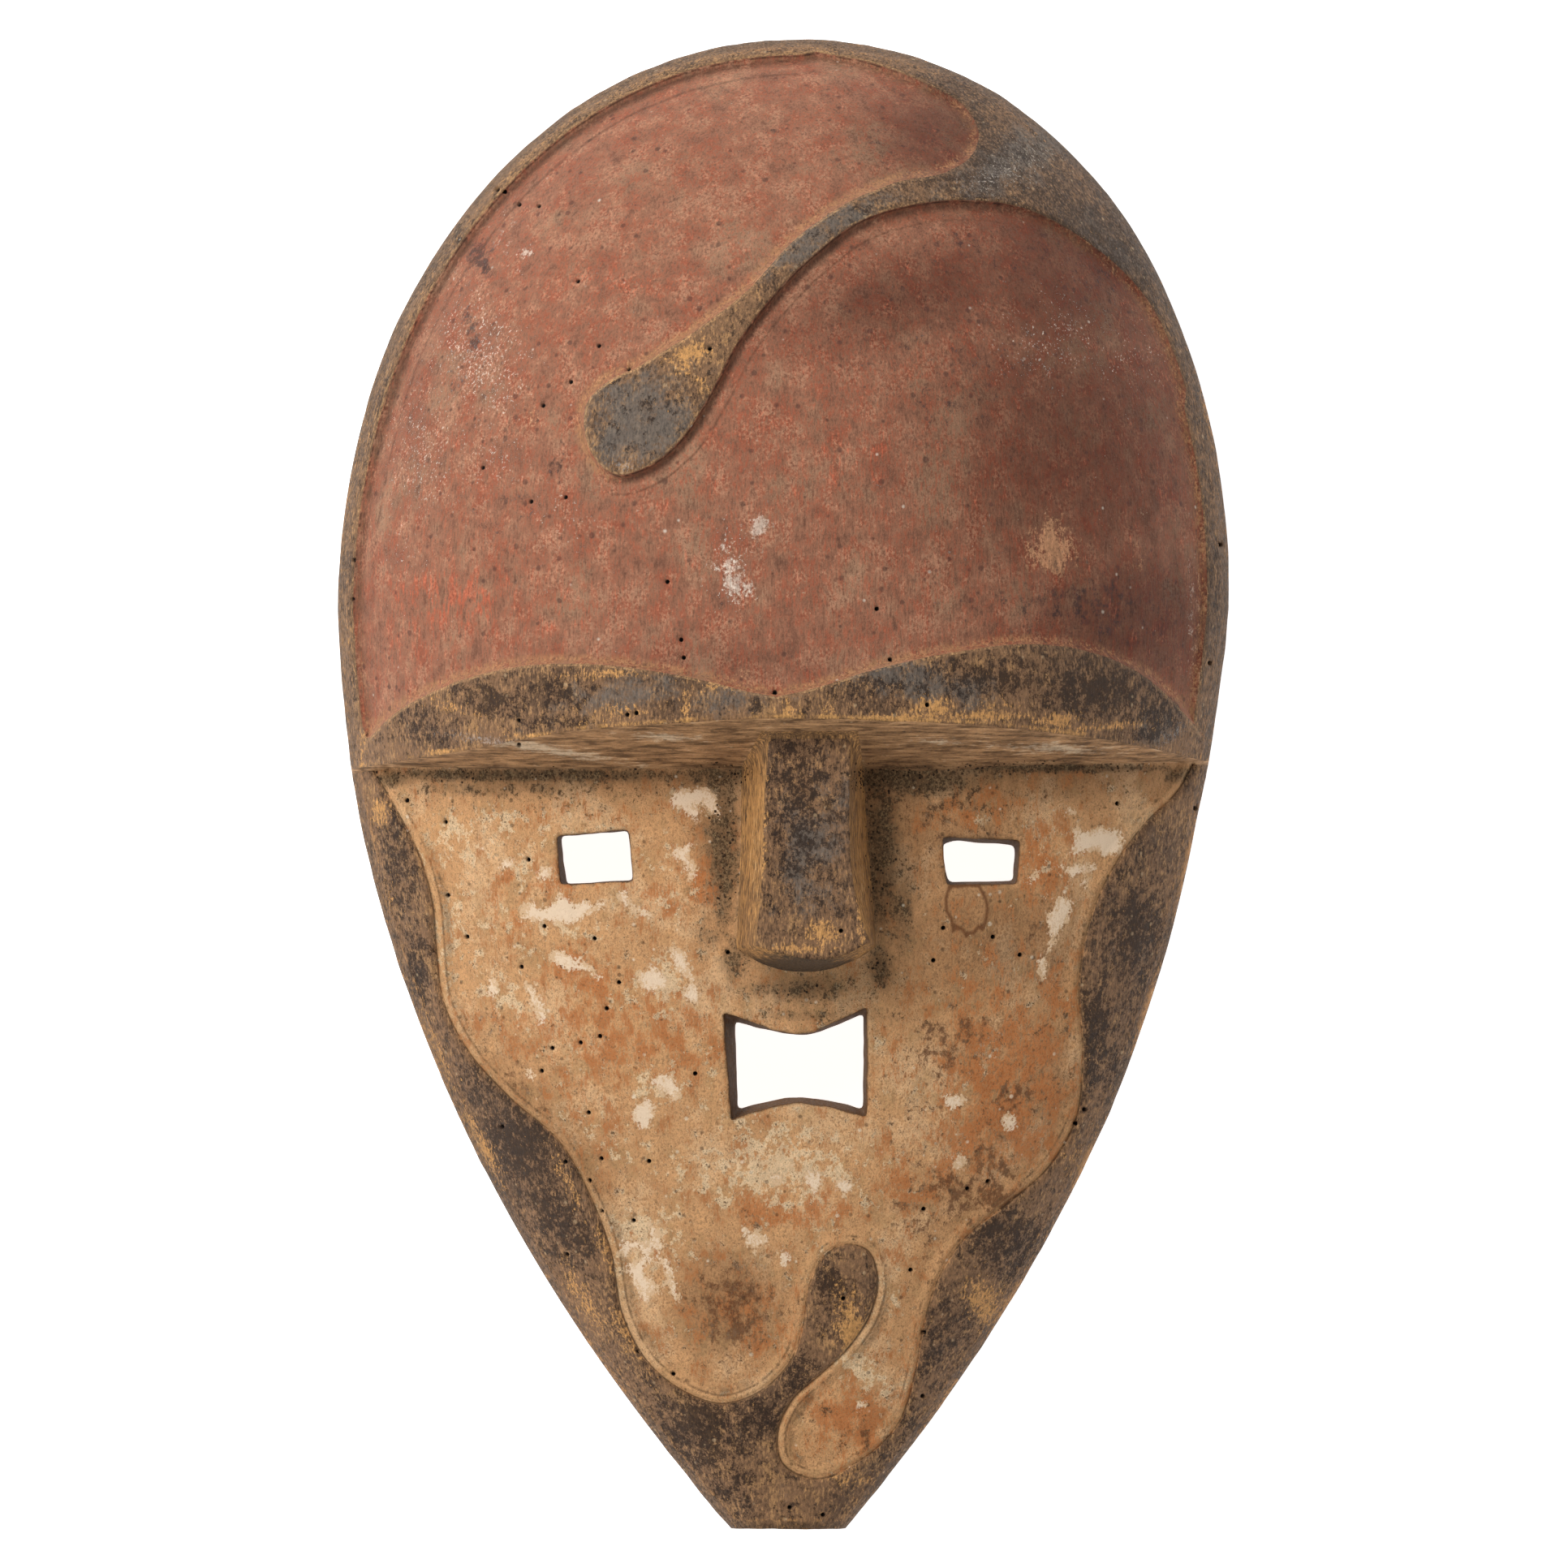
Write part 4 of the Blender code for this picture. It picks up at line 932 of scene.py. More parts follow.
def build_skin():
    """The mask's whole surface: front, outer wall, rim, hollow and hole walls."""
    noise.seed_set(WAVER_SEED)
    border = outline(RIM_STEP)
    front_loops, back_loops = [], []
    for seed, (front, back) in enumerate(HOLES.values()):
        front_loops.append(hole_loop(front, LINE_STEP, seed))
        back_loops.append(match(hole_loop(back, LINE_STEP, -1 - seed), len(front_loops[-1])))

    skin = Skin()
    plan, faces = plan_mesh(border, plan_lines(), front_loops, wormhole_dots(), FINE_STEP)
    skin.sheet(on_front(plan), faces, PAINT, True)
    top = on_front(border)
    skin.band(loft(top, top * (1, 1, 0), WALL_ROWS), OUTER_WOOD)

    mouth = hollow_outline(HOLLOW_STEP_SIZE)
    ring, ring_faces = plan_mesh(border, [], [mouth], [], RING_STEP)
    skin.sheet(np.column_stack([ring, np.zeros(len(ring))]), ring_faces, OUTER_WOOD, False)
    lip = np.column_stack([mouth, np.full(len(mouth), RIM_LIP)])
    skin.band([lip * (1, 1, 0), lip], HOLLOW_WOOD)
    bowl, bowl_faces = plan_mesh(mouth, [], back_loops, [], HOLLOW_STEP_SIZE)
    on_lip = distance_to(bowl, closed(mouth)) < SAME_PLACE
    bowl = np.column_stack([bowl, np.where(on_lip, RIM_LIP, hollow_height(bowl))])
    skin.sheet(bowl, bowl_faces, HOLLOW_WOOD, False)

    for front, back in zip(front_loops, back_loops):
        deep = np.column_stack([back, hollow_height(back)])
        skin.band(loft(on_front(front), deep, HOLE_ROWS), OUTER_WOOD)
    bmesh.ops.remove_doubles(skin.bm, verts=skin.bm.verts, dist=SAME_PLACE)
    return skin.bm


def ripple(points, size, height, seed, stretch, share=1.0):
    """Uneven waves of a size and height in mm, in metres at each point, times a share."""
    scale = Vector(stretch) / (size * MM)
    shift = Vector([way * seed for way in SEED_WAY])
    waves = np.array([
        noise.fractal(Vector(point) * scale + shift, 1.0, 2.0, WAVE_OCTAVES) for point in points
    ])
    return waves * share * height * MM


def gouge_depth(points):
    """Shallow hollows that a gouge leaves behind the mask, in rows along the grain."""
    depth = []
    for x, y, z in points:
        cell = Vector((x / GOUGE_WIDTH, y / GOUGE_LENGTH, z / GOUGE_WIDTH))
        near, _ = noise.voronoi(cell)
        depth.append(GOUGE_DEPTH * min(near[0], GOUGE_REACH))
    return np.array(depth)


def carve(bm, marks):
    """Give the skin the unevenness of hand work, beetle holes and crusted dirt."""
    bm.normal_update()
    bm.verts.index_update()
    front, inner = (
        sorted({v.index for f in bm.faces if f.material_index == kind for v in f.verts})
        for kind in (PAINT, HOLLOW_WOOD)
    )
    at = np.array([v.co for v in bm.verts])
    skin = at[front]
    move = np.zeros(len(at))
    for waves in HAND_WORK:
        move[front] += ripple(skin, *waves)
    move[front] += ripple(skin, *CRUST_LUMPS, share=marks["crust"][front])
    mouth = np.interp(marks["wormhole_mm"][front] * MM, (WORMHOLE_FLOOR, WORMHOLE_EDGE), (1, 0))
    move[front] -= mouth * WORMHOLE_DEPTH
    move[inner] -= gouge_depth(at[inner]) * np.clip(at[inner, 2] / LIP_FADE, 0, 1)
    for vert, amount in zip(bm.verts, move):
        if vert.co.z > LEVEL_RIM:
            vert.co += vert.normal * float(amount)


def age_and_shade_marks(at):
    """What each point of the skin carries: distances in mm, and soft marks of age and of painted
    shade from 0 to 1.
    """
    plan = at[:, :2]
    border = closed(outline(LINE_STEP))
    holes = np.vstack([
        resample(side, LINE_STEP) for front, _ in HOLES.values() for side in sides_of(place(front))
    ])
    red, face = into(plan, FOREHEAD_FIELD), into(plan, FACE_FIELD)
    marks = {
        "red_mm": red,
        "face_mm": face,
        "crest_mm": into(plan, NOSE_CREST_LOOP),
        "nose_mm": into(plan, NOSE_FOOT_LOOP),
        "brow_mm": (plan[:, 1] - np.interp(plan[:, 0], *BROW_EDGE_LINE.T)) / MM,
        "foot_mm": (plan[:, 1] - np.interp(plan[:, 0], *BROW_FOOT_LINE.T)) / MM,
        "rim_mm": distance_to(plan, border) / MM,
        "hole_mm": np.hypot(*(plan - holes[nearest(plan, holes)]).T) / MM,
        "wormhole_mm": np.hypot(*(plan - spots(WORMHOLES)[nearest(plan, spots(WORMHOLES))]).T) / MM,
        "scrap_mm": scrap_depth(plan),
        "drip_mm": into(plan, DRIP_LOOP),
        "lee": lee_of(plan, FOREHEAD_FIELD, red),
    }
    for name, strokes in SOFT_MARKS.items():
        marks[name] = brush(plan, strokes)
    return marks


def hex_colour(code):
    """Linear colour of an sRGB hex value."""
    srgb = [int(code[i:i + 2], 16) / 255 for i in (0, 2, 4)]
    return [c / 12.92 if c <= 0.04045 else ((c + 0.055) / 1.055) ** 2.4 for c in srgb] + [1.0]


def add(tree, kind, inputs=(), **settings):
    """Add a node, give it its settings, and set or link its inputs."""
    node = tree.nodes.new(kind)
    for name, value in settings.items():
        setattr(node, name, value)
    for socket, value in dict(inputs).items():
        if isinstance(value, bpy.types.NodeSocket):
            tree.links.new(value, node.inputs[socket])
        else:
            node.inputs[socket].default_value = value
    return node


# A pattern is cloudy noise: its size in mm across and along the grain, its detail, its
# roughness and a shift that sets it apart from its neighbours.
Pattern = namedtuple("Pattern", "across along detail roughness shift")
# A coat is a colour laid where a weighted sum of patterns and marks runs from low to high.
# Each entry of near keeps it to a line: a mark in mm, the line's middle and its half width.
Coat = namedtuple("Coat", "colour mixture low high strength near blend",
                  defaults=(1.0, (), 'MIX'))
# Specks are dots of a size and spacing in mm, on a share of the places.
Specks = namedtuple("Specks", "colour spacing size share strength")
# The tone is a grey mixture that lightens and darkens the coats, and the surface a mixture
# that raises them by up to its depth in mm.
# Tops are coats that lie over the tone, so they keep their own colour.
Finish = namedtuple(
    "Finish", "name ground patterns coats specks tone surface depth roughness tops")

GRAIN = Pattern(0.55, 3.6, 3, 0.7, 0.0)
GRIT = Pattern(0.65, 0.8, 3, 0.8, 3.0)
PATCH = Pattern(4.5, 6.5, 5, 0.65, 7.0)
CLUMP = Pattern(2.6, 3.2, 6, 0.75, 11.0)
BROAD = Pattern(15.0, 20.0, 2, 0.5, 17.0)
OTHER = Pattern(6.5, 8.0, 4, 0.7, 23.0)
STREAK = Pattern(9.0, 0.7, 4, 0.7, 5.0)
FLECK = Pattern(0.62, 2.0, 4, 0.75, 0.0)
PATTERNS = {
    "grain": GRAIN, "grit": GRIT, "patch": PATCH, "clump": CLUMP, "broad": BROAD, "other": OTHER,
}
# Painted shade, near black, inside each beetle hole
WORMHOLE_SHADE = Coat("0C0705", {"wormhole_mm": -1.0}, -0.66, -0.46)

# Red ochre brushed thin on softwood and dusted by the years: brick to rose, with brown
# mottling, fine upright fibres, and a darker right half, partly smoke and partly painted shade.
RED_OCHRE = Finish(
    "red_ochre_paint", "9E6B52", PATTERNS,
    (
        Coat("A98A6C", {"broad": 0.8, "grain": 0.5, "grit": 0.4}, 0.82, 1.20, 0.55),
        Coat("964C34", {"patch": 0.8, "grain": 0.9, "grit": 0.3}, 0.80, 1.28, 0.72),
        Coat("B0866A", {"other": 0.6, "patch": 0.4, "grit": 0.8}, 0.88, 1.30, 0.62),
        Coat("5A3A2E", {"patch": -0.6, "other": -0.4, "grit": 0.9, "clump": 0.3}, 0.12, 0.62, 0.66),
        # darker where smoke and painted shade lie
        Coat("A3938F", {"smoke": 1.0, "patch": 0.15}, 0.10, 1.05, 1.0, blend='MULTIPLY'),
        Coat("B75C40", {"ochre": 0.5, "grain": 0.6, "patch": 0.5}, 0.84, 1.15, 0.6),
        Coat("C08E68", {"bare": 0.6, "grit": 0.4, "clump": 0.6}, 0.86, 1.12, 0.75),
        Coat("CFB8A6", {"haze": 0.7, "grit": 0.4, "clump": 0.7}, 0.95, 1.25, 0.8),
        Coat("D6CABC", {"dust": 0.35, "grit": 0.9, "clump": 0.3}, 1.10, 1.22, 0.7),
        Coat("3E2E2C", {"soot": 0.62, "clump": 0.7, "grit": 0.3}, 0.80, 1.12, 0.8),
        # Along the red field's edges: painted shadow lines where an edge turns away from the light,
        # and a tan and orange worn edge that is lighter where it faces the light, partly a painted
        # highlight.
        Coat("A87A54", {"grit": 0.5, "clump": 0.5, "lee": -0.3, "smoke": -0.25}, 0.25, 0.60, 0.75,
             (("red_mm", 1.1, 2.1),)),
        Coat("563A2C", {"lee": 0.7, "clump": 0.5}, 0.45, 1.00, 0.8, (("red_mm", 1.6, 1.5),)),
        Coat("5A3A2A", {"lee": 0.7, "clump": 0.6}, 0.55, 1.10, 0.6, (("red_mm", 4.8, 0.5),)),
        Coat("BE9068", {"grit": 0.5, "clump": 0.5, "lee": -0.6, "smoke": -0.3}, 0.30, 0.60, 0.7,
             (("red_mm", -0.1, 0.4),)),
        Coat("2E2018", {"lee": 0.8, "clump": 0.5}, 0.60, 1.05, 0.8, (("red_mm", 0.3, 0.45),)),
    ),
    (Specks("4A302A", 2.6, 0.85, 0.40, 0.6), Specks("D8CBBA", 3.2, 0.5, 0.14, 0.7)),
    {"grain": 0.7, "grit": 0.8},
    {"grain": 0.5, "grit": 0.6, "clump": 0.4}, 0.14, (0.62, 0.85), (WORMHOLE_SHADE,),
)

# Soot black rubbed thin on softwood: clumps of matt black and grey-blue bloom over brown wood
# that shows its fibres, worn to orange along the edges, darker with smoke and painted shade.
SOOT_BLACK = Finish(
    "soot_black_paint", "886649", {**PATTERNS, "grain": FLECK},
    (
        Coat("B08658", {"grain": 0.8, "patch": 0.6, "smoke": -0.45}, 0.70, 1.05, 0.62),
        Coat("574232", {"grain": -0.7, "grit": 0.5, "broad": 0.6}, 0.16, 0.52, 0.7),
        Coat("686058", {"blue": 0.75, "other": 0.6, "grit": 0.4}, 0.70, 1.25, 0.85),
        Coat("281B14", {"soot": 0.55, "clump": 0.9, "grit": 0.6}, 0.86, 1.22, 0.85),
        # darker where smoke and painted shade lie
        Coat("46362A", {"smoke": 0.8, "grain": -0.5, "clump": 0.4}, 0.05, 0.65, 0.85),
        Coat("C49158", {"bare": 0.60, "grit": 0.4, "grain": 0.4, "clump": 0.4}, 0.90, 1.12, 0.9),
        Coat("A59C94", {"haze": 0.5, "grit": 0.6}, 0.55, 0.85, 0.6),
        Coat("B9AA98", {"dust": 0.4, "grit": 0.9}, 0.92, 1.04, 0.6),
        Coat("4E3A28", {"clump": 0.6, "grit": 0.4}, 0.05, 0.70, 0.8, (("rim_mm", 0.6, 1.8),)),
        Coat("AC7E50", {"grain": 0.7, "clump": 0.5, "smoke": -0.5}, 0.50, 0.85, 0.7,
             (("rim_mm", 2.1, 0.5),)),
        Coat("C08A52", {"groove": 0.5, "grain": 0.6, "clump": 0.4}, 0.62, 0.98, 0.9,
             (("rim_mm", 0.0, 1.8),)),
        Coat("C8965C", {"bare": 0.6, "grit": 0.4, "clump": 0.4}, 0.40, 0.75, 0.9,
             (("brow_mm", 0.5, 0.9),)),
        Coat("BE9468", {"grit": 0.5, "clump": 0.5, "smoke": -0.4}, 0.35, 0.65, 0.75,
             (("red_mm", -0.3, 0.45),)),
        Coat("A8845E", {"grain": 0.5, "clump": 0.5}, 0.50, 0.80, 0.6, (("face_mm", -0.3, 0.5),)),
    ),
    (Specks("C0A27C", 2.4, 0.6, 0.25, 0.55), Specks("241C1A", 2.0, 0.8, 0.30, 0.5)),
    {"grain": 0.75, "grit": 0.6},
    {"grain": 0.9, "grit": 0.4, "clump": 0.4}, 0.14, (0.55, 0.8), (WORMHOLE_SHADE,),
)

# Kaolin over softwood, mostly worn away to tan and orange, gritty, with cream scraps left on
# and dirt crusted under the brow and beside the nose, where painted shade darkens it further.
KAOLIN = Finish(
    "kaolin_paint", "CE9C6C", PATTERNS,
    (
        Coat("E0B88C", {"broad": 0.8, "clump": 0.5, "grit": 0.4}, 0.84, 1.15, 0.6),
        Coat("B08A5E", {"other": 1.0, "grit": 0.5}, 0.80, 1.15, 0.6),
        # darker where smoke and painted shade lie
        Coat("94887E", {"smoke": 1.0, "patch": 0.15}, 0.10, 1.05, 1.0, blend='MULTIPLY'),
        Coat("BE7440", {"ochre": 0.50, "patch": 0.8, "grain": 0.5, "grit": 0.3}, 0.92, 1.32, 0.88),
        Coat("EACBA2", {"cream": 0.45, "clump": 0.9, "other": 0.4}, 0.94, 1.08, 0.8),
        Coat("6A4228", {"brown": 0.60, "clump": 0.9, "grit": 0.3}, 0.92, 1.22, 0.85),
        Coat("8A6A48", {"grit": 1.0, "grain": 0.5, "patch": 0.4}, 1.06, 1.35, 0.65),
        # crusted dirt and painted shade in the corners by the nose and under the brow
        Coat("5E4A34", {"crust": 0.9, "grit": 0.4, "clump": 0.4}, 0.52, 1.15, 0.88),
        Coat("33281C", {"crust": 0.50, "grit": 0.9, "clump": 0.8}, 1.12, 1.50, 0.65),
        Coat("B4946A", {"crust": 0.40, "grit": -0.9, "clump": 0.4}, 0.10, 0.35, 0.5),
        # Along the face's carved edge: painted shade in the groove and in the shallow dip inside
        # it, and a painted highlight on the bead between them.
        Coat("3E2E20", {"groove": 0.3, "clump": 0.6}, 0.10, 0.45, 0.85, (("face_mm", 0.2, 0.45),)),
        Coat("C89F70", {"groove": 0.3, "clump": 0.8}, 0.25, 0.75, 0.5, (("face_mm", 1.05, 0.4),)),
        Coat("5A432C", {"groove": 0.3, "clump": 0.6}, 0.20, 0.60, 0.7, (("face_mm", 2.2, 0.5),)),
        Coat("6E5034", {"groove": 0.5, "clump": 0.6}, 0.42, 1.00, 0.75, (("face_mm", 3.4, 1.8),)),
        # painted shade round the edges of the holes
        Coat("4A3624", {"clump": 0.6, "grit": 0.4}, 0.25, 0.65, 0.75, (("hole_mm", 0.0, 0.6),)),
    ),
    (Specks("3E2C1E", 2.0, 0.6, 0.34, 0.55), Specks("EAD9BE", 2.6, 0.6, 0.20, 0.55)),
    {"grain": 0.35, "grit": 0.95},
    {"grain": 0.3, "grit": 1.0, "clump": 0.4}, 0.14, (0.7, 0.92),
    (
        # painted shadow along the edge of each scrap, where it stands off the wood
        Coat("8A6038", {"scrap_mm": 0.5, "clump": 1.2, "grit": 0.5}, 0.64, 0.78, 0.35),
        Coat("E0BC94", {"scrap_mm": 0.5, "clump": 1.2, "grit": 0.6}, 0.78, 0.94, 0.85),
        Coat("F2DABE", {"scrap_mm": 0.35, "patch": 0.6, "grit": 0.9}, 0.78, 1.12, 0.75),
        Coat("6A4226", {"grit": 0.3, "clump": 0.5}, -0.10, 0.20, 0.85, (("drip_mm", 0.0, 0.75),)),
        WORMHOLE_SHADE,
    ),
)

# Softwood under the brow, darkened by smoke and hands and by painted shade, and streaked
# along its grain, with chalky smears left on it.
BROW_WOOD = Finish(
    "smoked_brow_wood", "9A7450", {**PATTERNS, "streak": STREAK},
    (
        Coat("B48A60", {"streak": 1.0, "patch": 0.4}, 0.66, 1.00, 0.75),
        Coat("664A30", {"streak": -1.0, "clump": 0.5}, -0.22, 0.15, 0.7),
        Coat("C6AF92", {"haze": 0.6, "streak": 0.5, "clump": 0.5}, 0.72, 1.15, 0.85),
        # crusted dirt and painted shade
        Coat("3E3020", {"crust": 0.6, "grit": 0.6, "streak": 0.4}, 0.84, 1.25, 0.85),
        # darker where smoke and painted shade lie
        Coat("A08E86", {"smoke": 1.0}, 0.1, 1.1, 1.0, blend='MULTIPLY'),
    ),
    (Specks("D8C09A", 3.2, 0.6, 0.16, 0.6), Specks("2E2218", 2.2, 0.7, 0.3, 0.5)),
    {"streak": 0.8, "grit": 0.5},
    {"streak": 0.9, "grit": 0.5}, 0.14, (0.6, 0.8), (WORMHOLE_SHADE,),
)

# Softwood on the nose's sides: worn to orange on the left, darker on the right from smoke and
# painted shade, with long upright fibres and a painted shadow under the tip.
WORN_WOOD = Finish(
    "worn_softwood", "8E6A46", PATTERNS,
    (
        Coat("BC8A52", {"grain": 0.9, "patch": 0.5, "bare": 0.45}, 0.76, 1.10, 0.8),
        Coat("5E452E", {"grain": -0.8, "clump": 0.6}, -0.06, 0.30, 0.65),
        Coat("C9AE84", {"haze": 0.5, "grain": 0.7}, 0.62, 0.90, 0.6),
        # crusted dirt and painted shade
        Coat("3E3020", {"crust": 0.5, "grit": 0.5, "clump": 0.4}, 0.86, 1.15, 0.8),
        # painted shadow under the nose's tip, and soot stains
        Coat("40362C", {"soot": 0.8, "clump": 0.5}, 0.45, 0.85, 0.85),
        # darker where smoke and painted shade lie
        Coat("B4A69E", {"smoke": 1.0}, 0.1, 1.1, 1.0, blend='MULTIPLY'),
    ),
    (Specks("2E2218", 2.4, 0.7, 0.3, 0.5),),
    {"grain": 0.9, "grit": 0.4},
    {"grain": 1.0, "grit": 0.4}, 0.14, (0.6, 0.8), (WORMHOLE_SHADE,),
)

# The outer wall and the walls of the holes: bare softwood that smoke and hands have turned
# dark and dull, browner inside the holes.
WALL_WOOD = Finish(
    "smoked_wall_wood", "665040", PATTERNS,
    (
        Coat("86684A", {"grain": 0.9, "patch": 0.5}, 0.72, 1.05, 0.7),
        Coat("443830", {"grain": -0.8, "clump": 0.6}, -0.06, 0.30, 0.7),
        Coat("5C5A58", {"other": 0.9, "grit": 0.4}, 0.74, 1.00, 0.55),
        Coat("2E2626", {"clump": 1.0, "grit": 0.5}, 0.90, 1.12, 0.7),
        Coat("6C4826", {"clump": 0.6, "grit": 0.4}, 0.00, 0.50, 0.95, (("hole_mm", 0.0, 8.0),)),
    ),
    (Specks("241A14", 2.4, 0.7, 0.3, 0.5),),
    {"grain": 0.9, "grit": 0.4},
    {"grain": 1.0, "grit": 0.4}, 0.16, (0.6, 0.8), (WORMHOLE_SHADE,),
)

# Unpainted softwood inside the hollow, as the gouge left it: dull tan, dusty and dry.
GOUGED_WOOD = Finish(
    "gouged_softwood", "97764F",
    {"grain": Pattern(0.9, 11.0, 4, 0.7, 0.0), "grit": GRIT, "patch": Pattern(9, 16, 4, 0.6, 7.0),
     "broad": Pattern(30, 60, 2, 0.5, 17.0)},
    (
        Coat("7A5C3E", {"broad": 0.8, "grain": 0.6}, 0.60, 1.00, 0.8),
        Coat("5A432C", {"patch": 1.0, "grit": 0.5}, 0.80, 1.15, 0.6),
        Coat("B8986C", {"grain": 1.0, "grit": 0.3}, 0.70, 1.00, 0.5),
    ),
    (Specks("3A2A1C", 5.0, 1.0, 0.2, 0.6),),
    {"grain": 0.8, "grit": 0.4},
    {"grain": 1.0, "grit": 0.3}, 0.22, (0.8, 0.9), (),
)

# Grains of the dirt that has crusted in the corners: dull grey-brown, rough.
CRUST_DIRT = Finish(
    "crusted_dirt", "54412E", {"grit": GRIT, "clump": CLUMP},
    (
        Coat("8A6E4C", {"clump": 1.0, "grit": 0.4}, 0.70, 1.00, 0.9),
        Coat("2A1F16", {"clump": -1.0, "grit": 0.4}, -0.40, -0.05, 0.9),
    ),
    (), {"grit": 0.8}, {"grit": 1.0}, 0.1, (0.85, 0.95), (),
)


# Cloudy noise keeps near its middle, so this part of it is stretched to run from 0 to 1
CLOUD_RANGE = (0.33, 0.67)
# How far the tone darkens and lightens, where a speck's soft edge starts and ends, and the
# part of the grit that the roughness follows
TONE_RANGE = (0.42, 1.58)
SPECK_EDGE = (-0.10, 0.04)
GRIT_RANGE = (0.3, 0.7)
# Earth paint and dry wood are dull, so they shine much less than new paint
SHEEN = 0.2
# The sockets of a mix node that take the colours under and over, and give the mixed one
UNDER, OVER, MIXED = 6, 7, 2


def marks_in(finish):
    """The marks of age that a finish reads from the mesh."""
    layers = finish.coats + finish.tops
    read = {name for coat in layers for name in coat.mixture}
    read |= {mark for coat in layers for mark, _, _ in coat.near}
    return read - set(finish.patterns)


def lay_finish(finish):
    """Build a finish as one material: ground, coats, specks, tone and fine surface."""
    material = bpy.data.materials.new(finish.name)
    material.use_nodes = True
    tree = material.node_tree
    shader = tree.nodes["Principled BSDF"]
    here = add(tree, "ShaderNodeTexCoord").outputs["Object"]
    values = {}
    for name, pattern in finish.patterns.items():
        across, along = 1 / (pattern.across * MM), 1 / (pattern.along * MM)
        scaled = add(tree, "ShaderNodeMapping", {
            "Vector": here, "Location": (pattern.shift,) * 3, "Scale": (across, along, across),
        })
        cloud = add(tree, "ShaderNodeTexNoise", {
            "Vector": scaled.outputs["Vector"], "Scale": 1.0, "Detail": pattern.detail,
            "Roughness": pattern.roughness,
        }).outputs["Fac"]
        values[name] = add(tree, "ShaderNodeMapRange", {
            "Value": cloud, "From Min": CLOUD_RANGE[0], "From Max": CLOUD_RANGE[1],
        }).outputs["Result"]

    for name in sorted(marks_in(finish)):
        values[name] = add(tree, "ShaderNodeAttribute", attribute_name=name).outputs["Fac"]

    def blended(mixture):
        """The weighted sum of a mixture."""
        total = 0.0
        for name, weight in mixture.items():
            total = add(tree, "ShaderNodeMath", {0: values[name], 1: weight, 2: total},
                        operation='MULTIPLY_ADD').outputs[0]
        return total

    def coated(colour, coat):
        """The colour after a coat is laid over it."""
        amount = add(tree, "ShaderNodeMapRange", {
            "Value": blended(coat.mixture), "From Min": coat.low, "From Max": coat.high,
            "To Max": coat.strength,
        }, interpolation_type='SMOOTHSTEP').outputs["Result"]
        for mark, middle, half in coat.near:
            away = add(tree, "ShaderNodeMath", {0: values[mark], 1: middle},
                       operation='SUBTRACT').outputs[0]
            away = add(tree, "ShaderNodeMath", {0: away}, operation='ABSOLUTE').outputs[0]
            share = add(tree, "ShaderNodeMapRange", {
                "Value": away, "From Max": half, "To Min": 1.0, "To Max": 0.0,
            }, interpolation_type='SMOOTHSTEP').outputs["Result"]
            amount = add(tree, "ShaderNodeMath", {0: amount, 1: share},
                         operation='MULTIPLY').outputs[0]
        return add(tree, "ShaderNodeMix", {
            "Factor": amount, UNDER: colour, OVER: hex_colour(coat.colour),
        }, data_type='RGBA', blend_type=coat.blend).outputs[MIXED]

    colour = hex_colour(finish.ground)
    for coat in finish.coats:
        colour = coated(colour, coat)
    for specks in finish.specks:
        scaled = add(tree, "ShaderNodeVectorMath", {
            0: here, 1: (1 / (specks.spacing * MM),) * 3}, operation='MULTIPLY').outputs[0]
        cells = add(tree, "ShaderNodeTexVoronoi", {"Vector": scaled, "Scale": 1.0})
        chance = add(tree, "ShaderNodeSeparateColor", {"Color": cells.outputs["Color"]})
        kept = add(tree, "ShaderNodeMath", {0: chance.outputs["Red"], 1: specks.share},
                   operation='LESS_THAN').outputs[0]
        radius = add(tree, "ShaderNodeMath", {
            0: chance.outputs["Green"], 1: specks.size / specks.spacing},
            operation='MULTIPLY').outputs[0]
        beyond = add(tree, "ShaderNodeMath", {0: cells.outputs["Distance"], 1: radius},
                     operation='SUBTRACT').outputs[0]
        dot = add(tree, "ShaderNodeMapRange", {
            "Value": beyond, "From Min": SPECK_EDGE[0], "From Max": SPECK_EDGE[1],
            "To Min": specks.strength, "To Max": 0.0}).outputs["Result"]
        amount = add(tree, "ShaderNodeMath", {0: dot, 1: kept}, operation='MULTIPLY').outputs[0]
        colour = add(tree, "ShaderNodeMix", {
            "Factor": amount, UNDER: colour, OVER: hex_colour(specks.colour),
        }, data_type='RGBA').outputs[MIXED]

    grey = add(tree, "ShaderNodeMapRange", {
        "Value": blended(finish.tone), "From Max": sum(finish.tone.values()),
        "To Min": TONE_RANGE[0], "To Max": TONE_RANGE[1],
    }).outputs["Result"]
    colour = add(tree, "ShaderNodeMix", {"Factor": 1.0, UNDER: colour, OVER: grey},
                 data_type='RGBA', blend_type='MULTIPLY').outputs[MIXED]
    for coat in finish.tops:
        colour = coated(colour, coat)
    gloss = add(tree, "ShaderNodeMapRange", {
        "Value": values["grit"], "From Min": GRIT_RANGE[0], "From Max": GRIT_RANGE[1],
        "To Min": finish.roughness[0], "To Max": finish.roughness[1],
    }).outputs["Result"]
    bump = add(tree, "ShaderNodeBump", {
        "Height": blended(finish.surface), "Distance": finish.depth * MM, "Strength": 1.0})
    tree.links.new(colour, shader.inputs["Base Color"])
    tree.links.new(gloss, shader.inputs["Roughness"])
    tree.links.new(bump.outputs["Normal"], shader.inputs["Normal"])
    shader.inputs["Specular IOR Level"].default_value = SHEEN
    return material


FINISHES = (RED_OCHRE, SOOT_BLACK, KAOLIN, BROW_WOOD, WORN_WOOD, WALL_WOOD, GOUGED_WOOD)


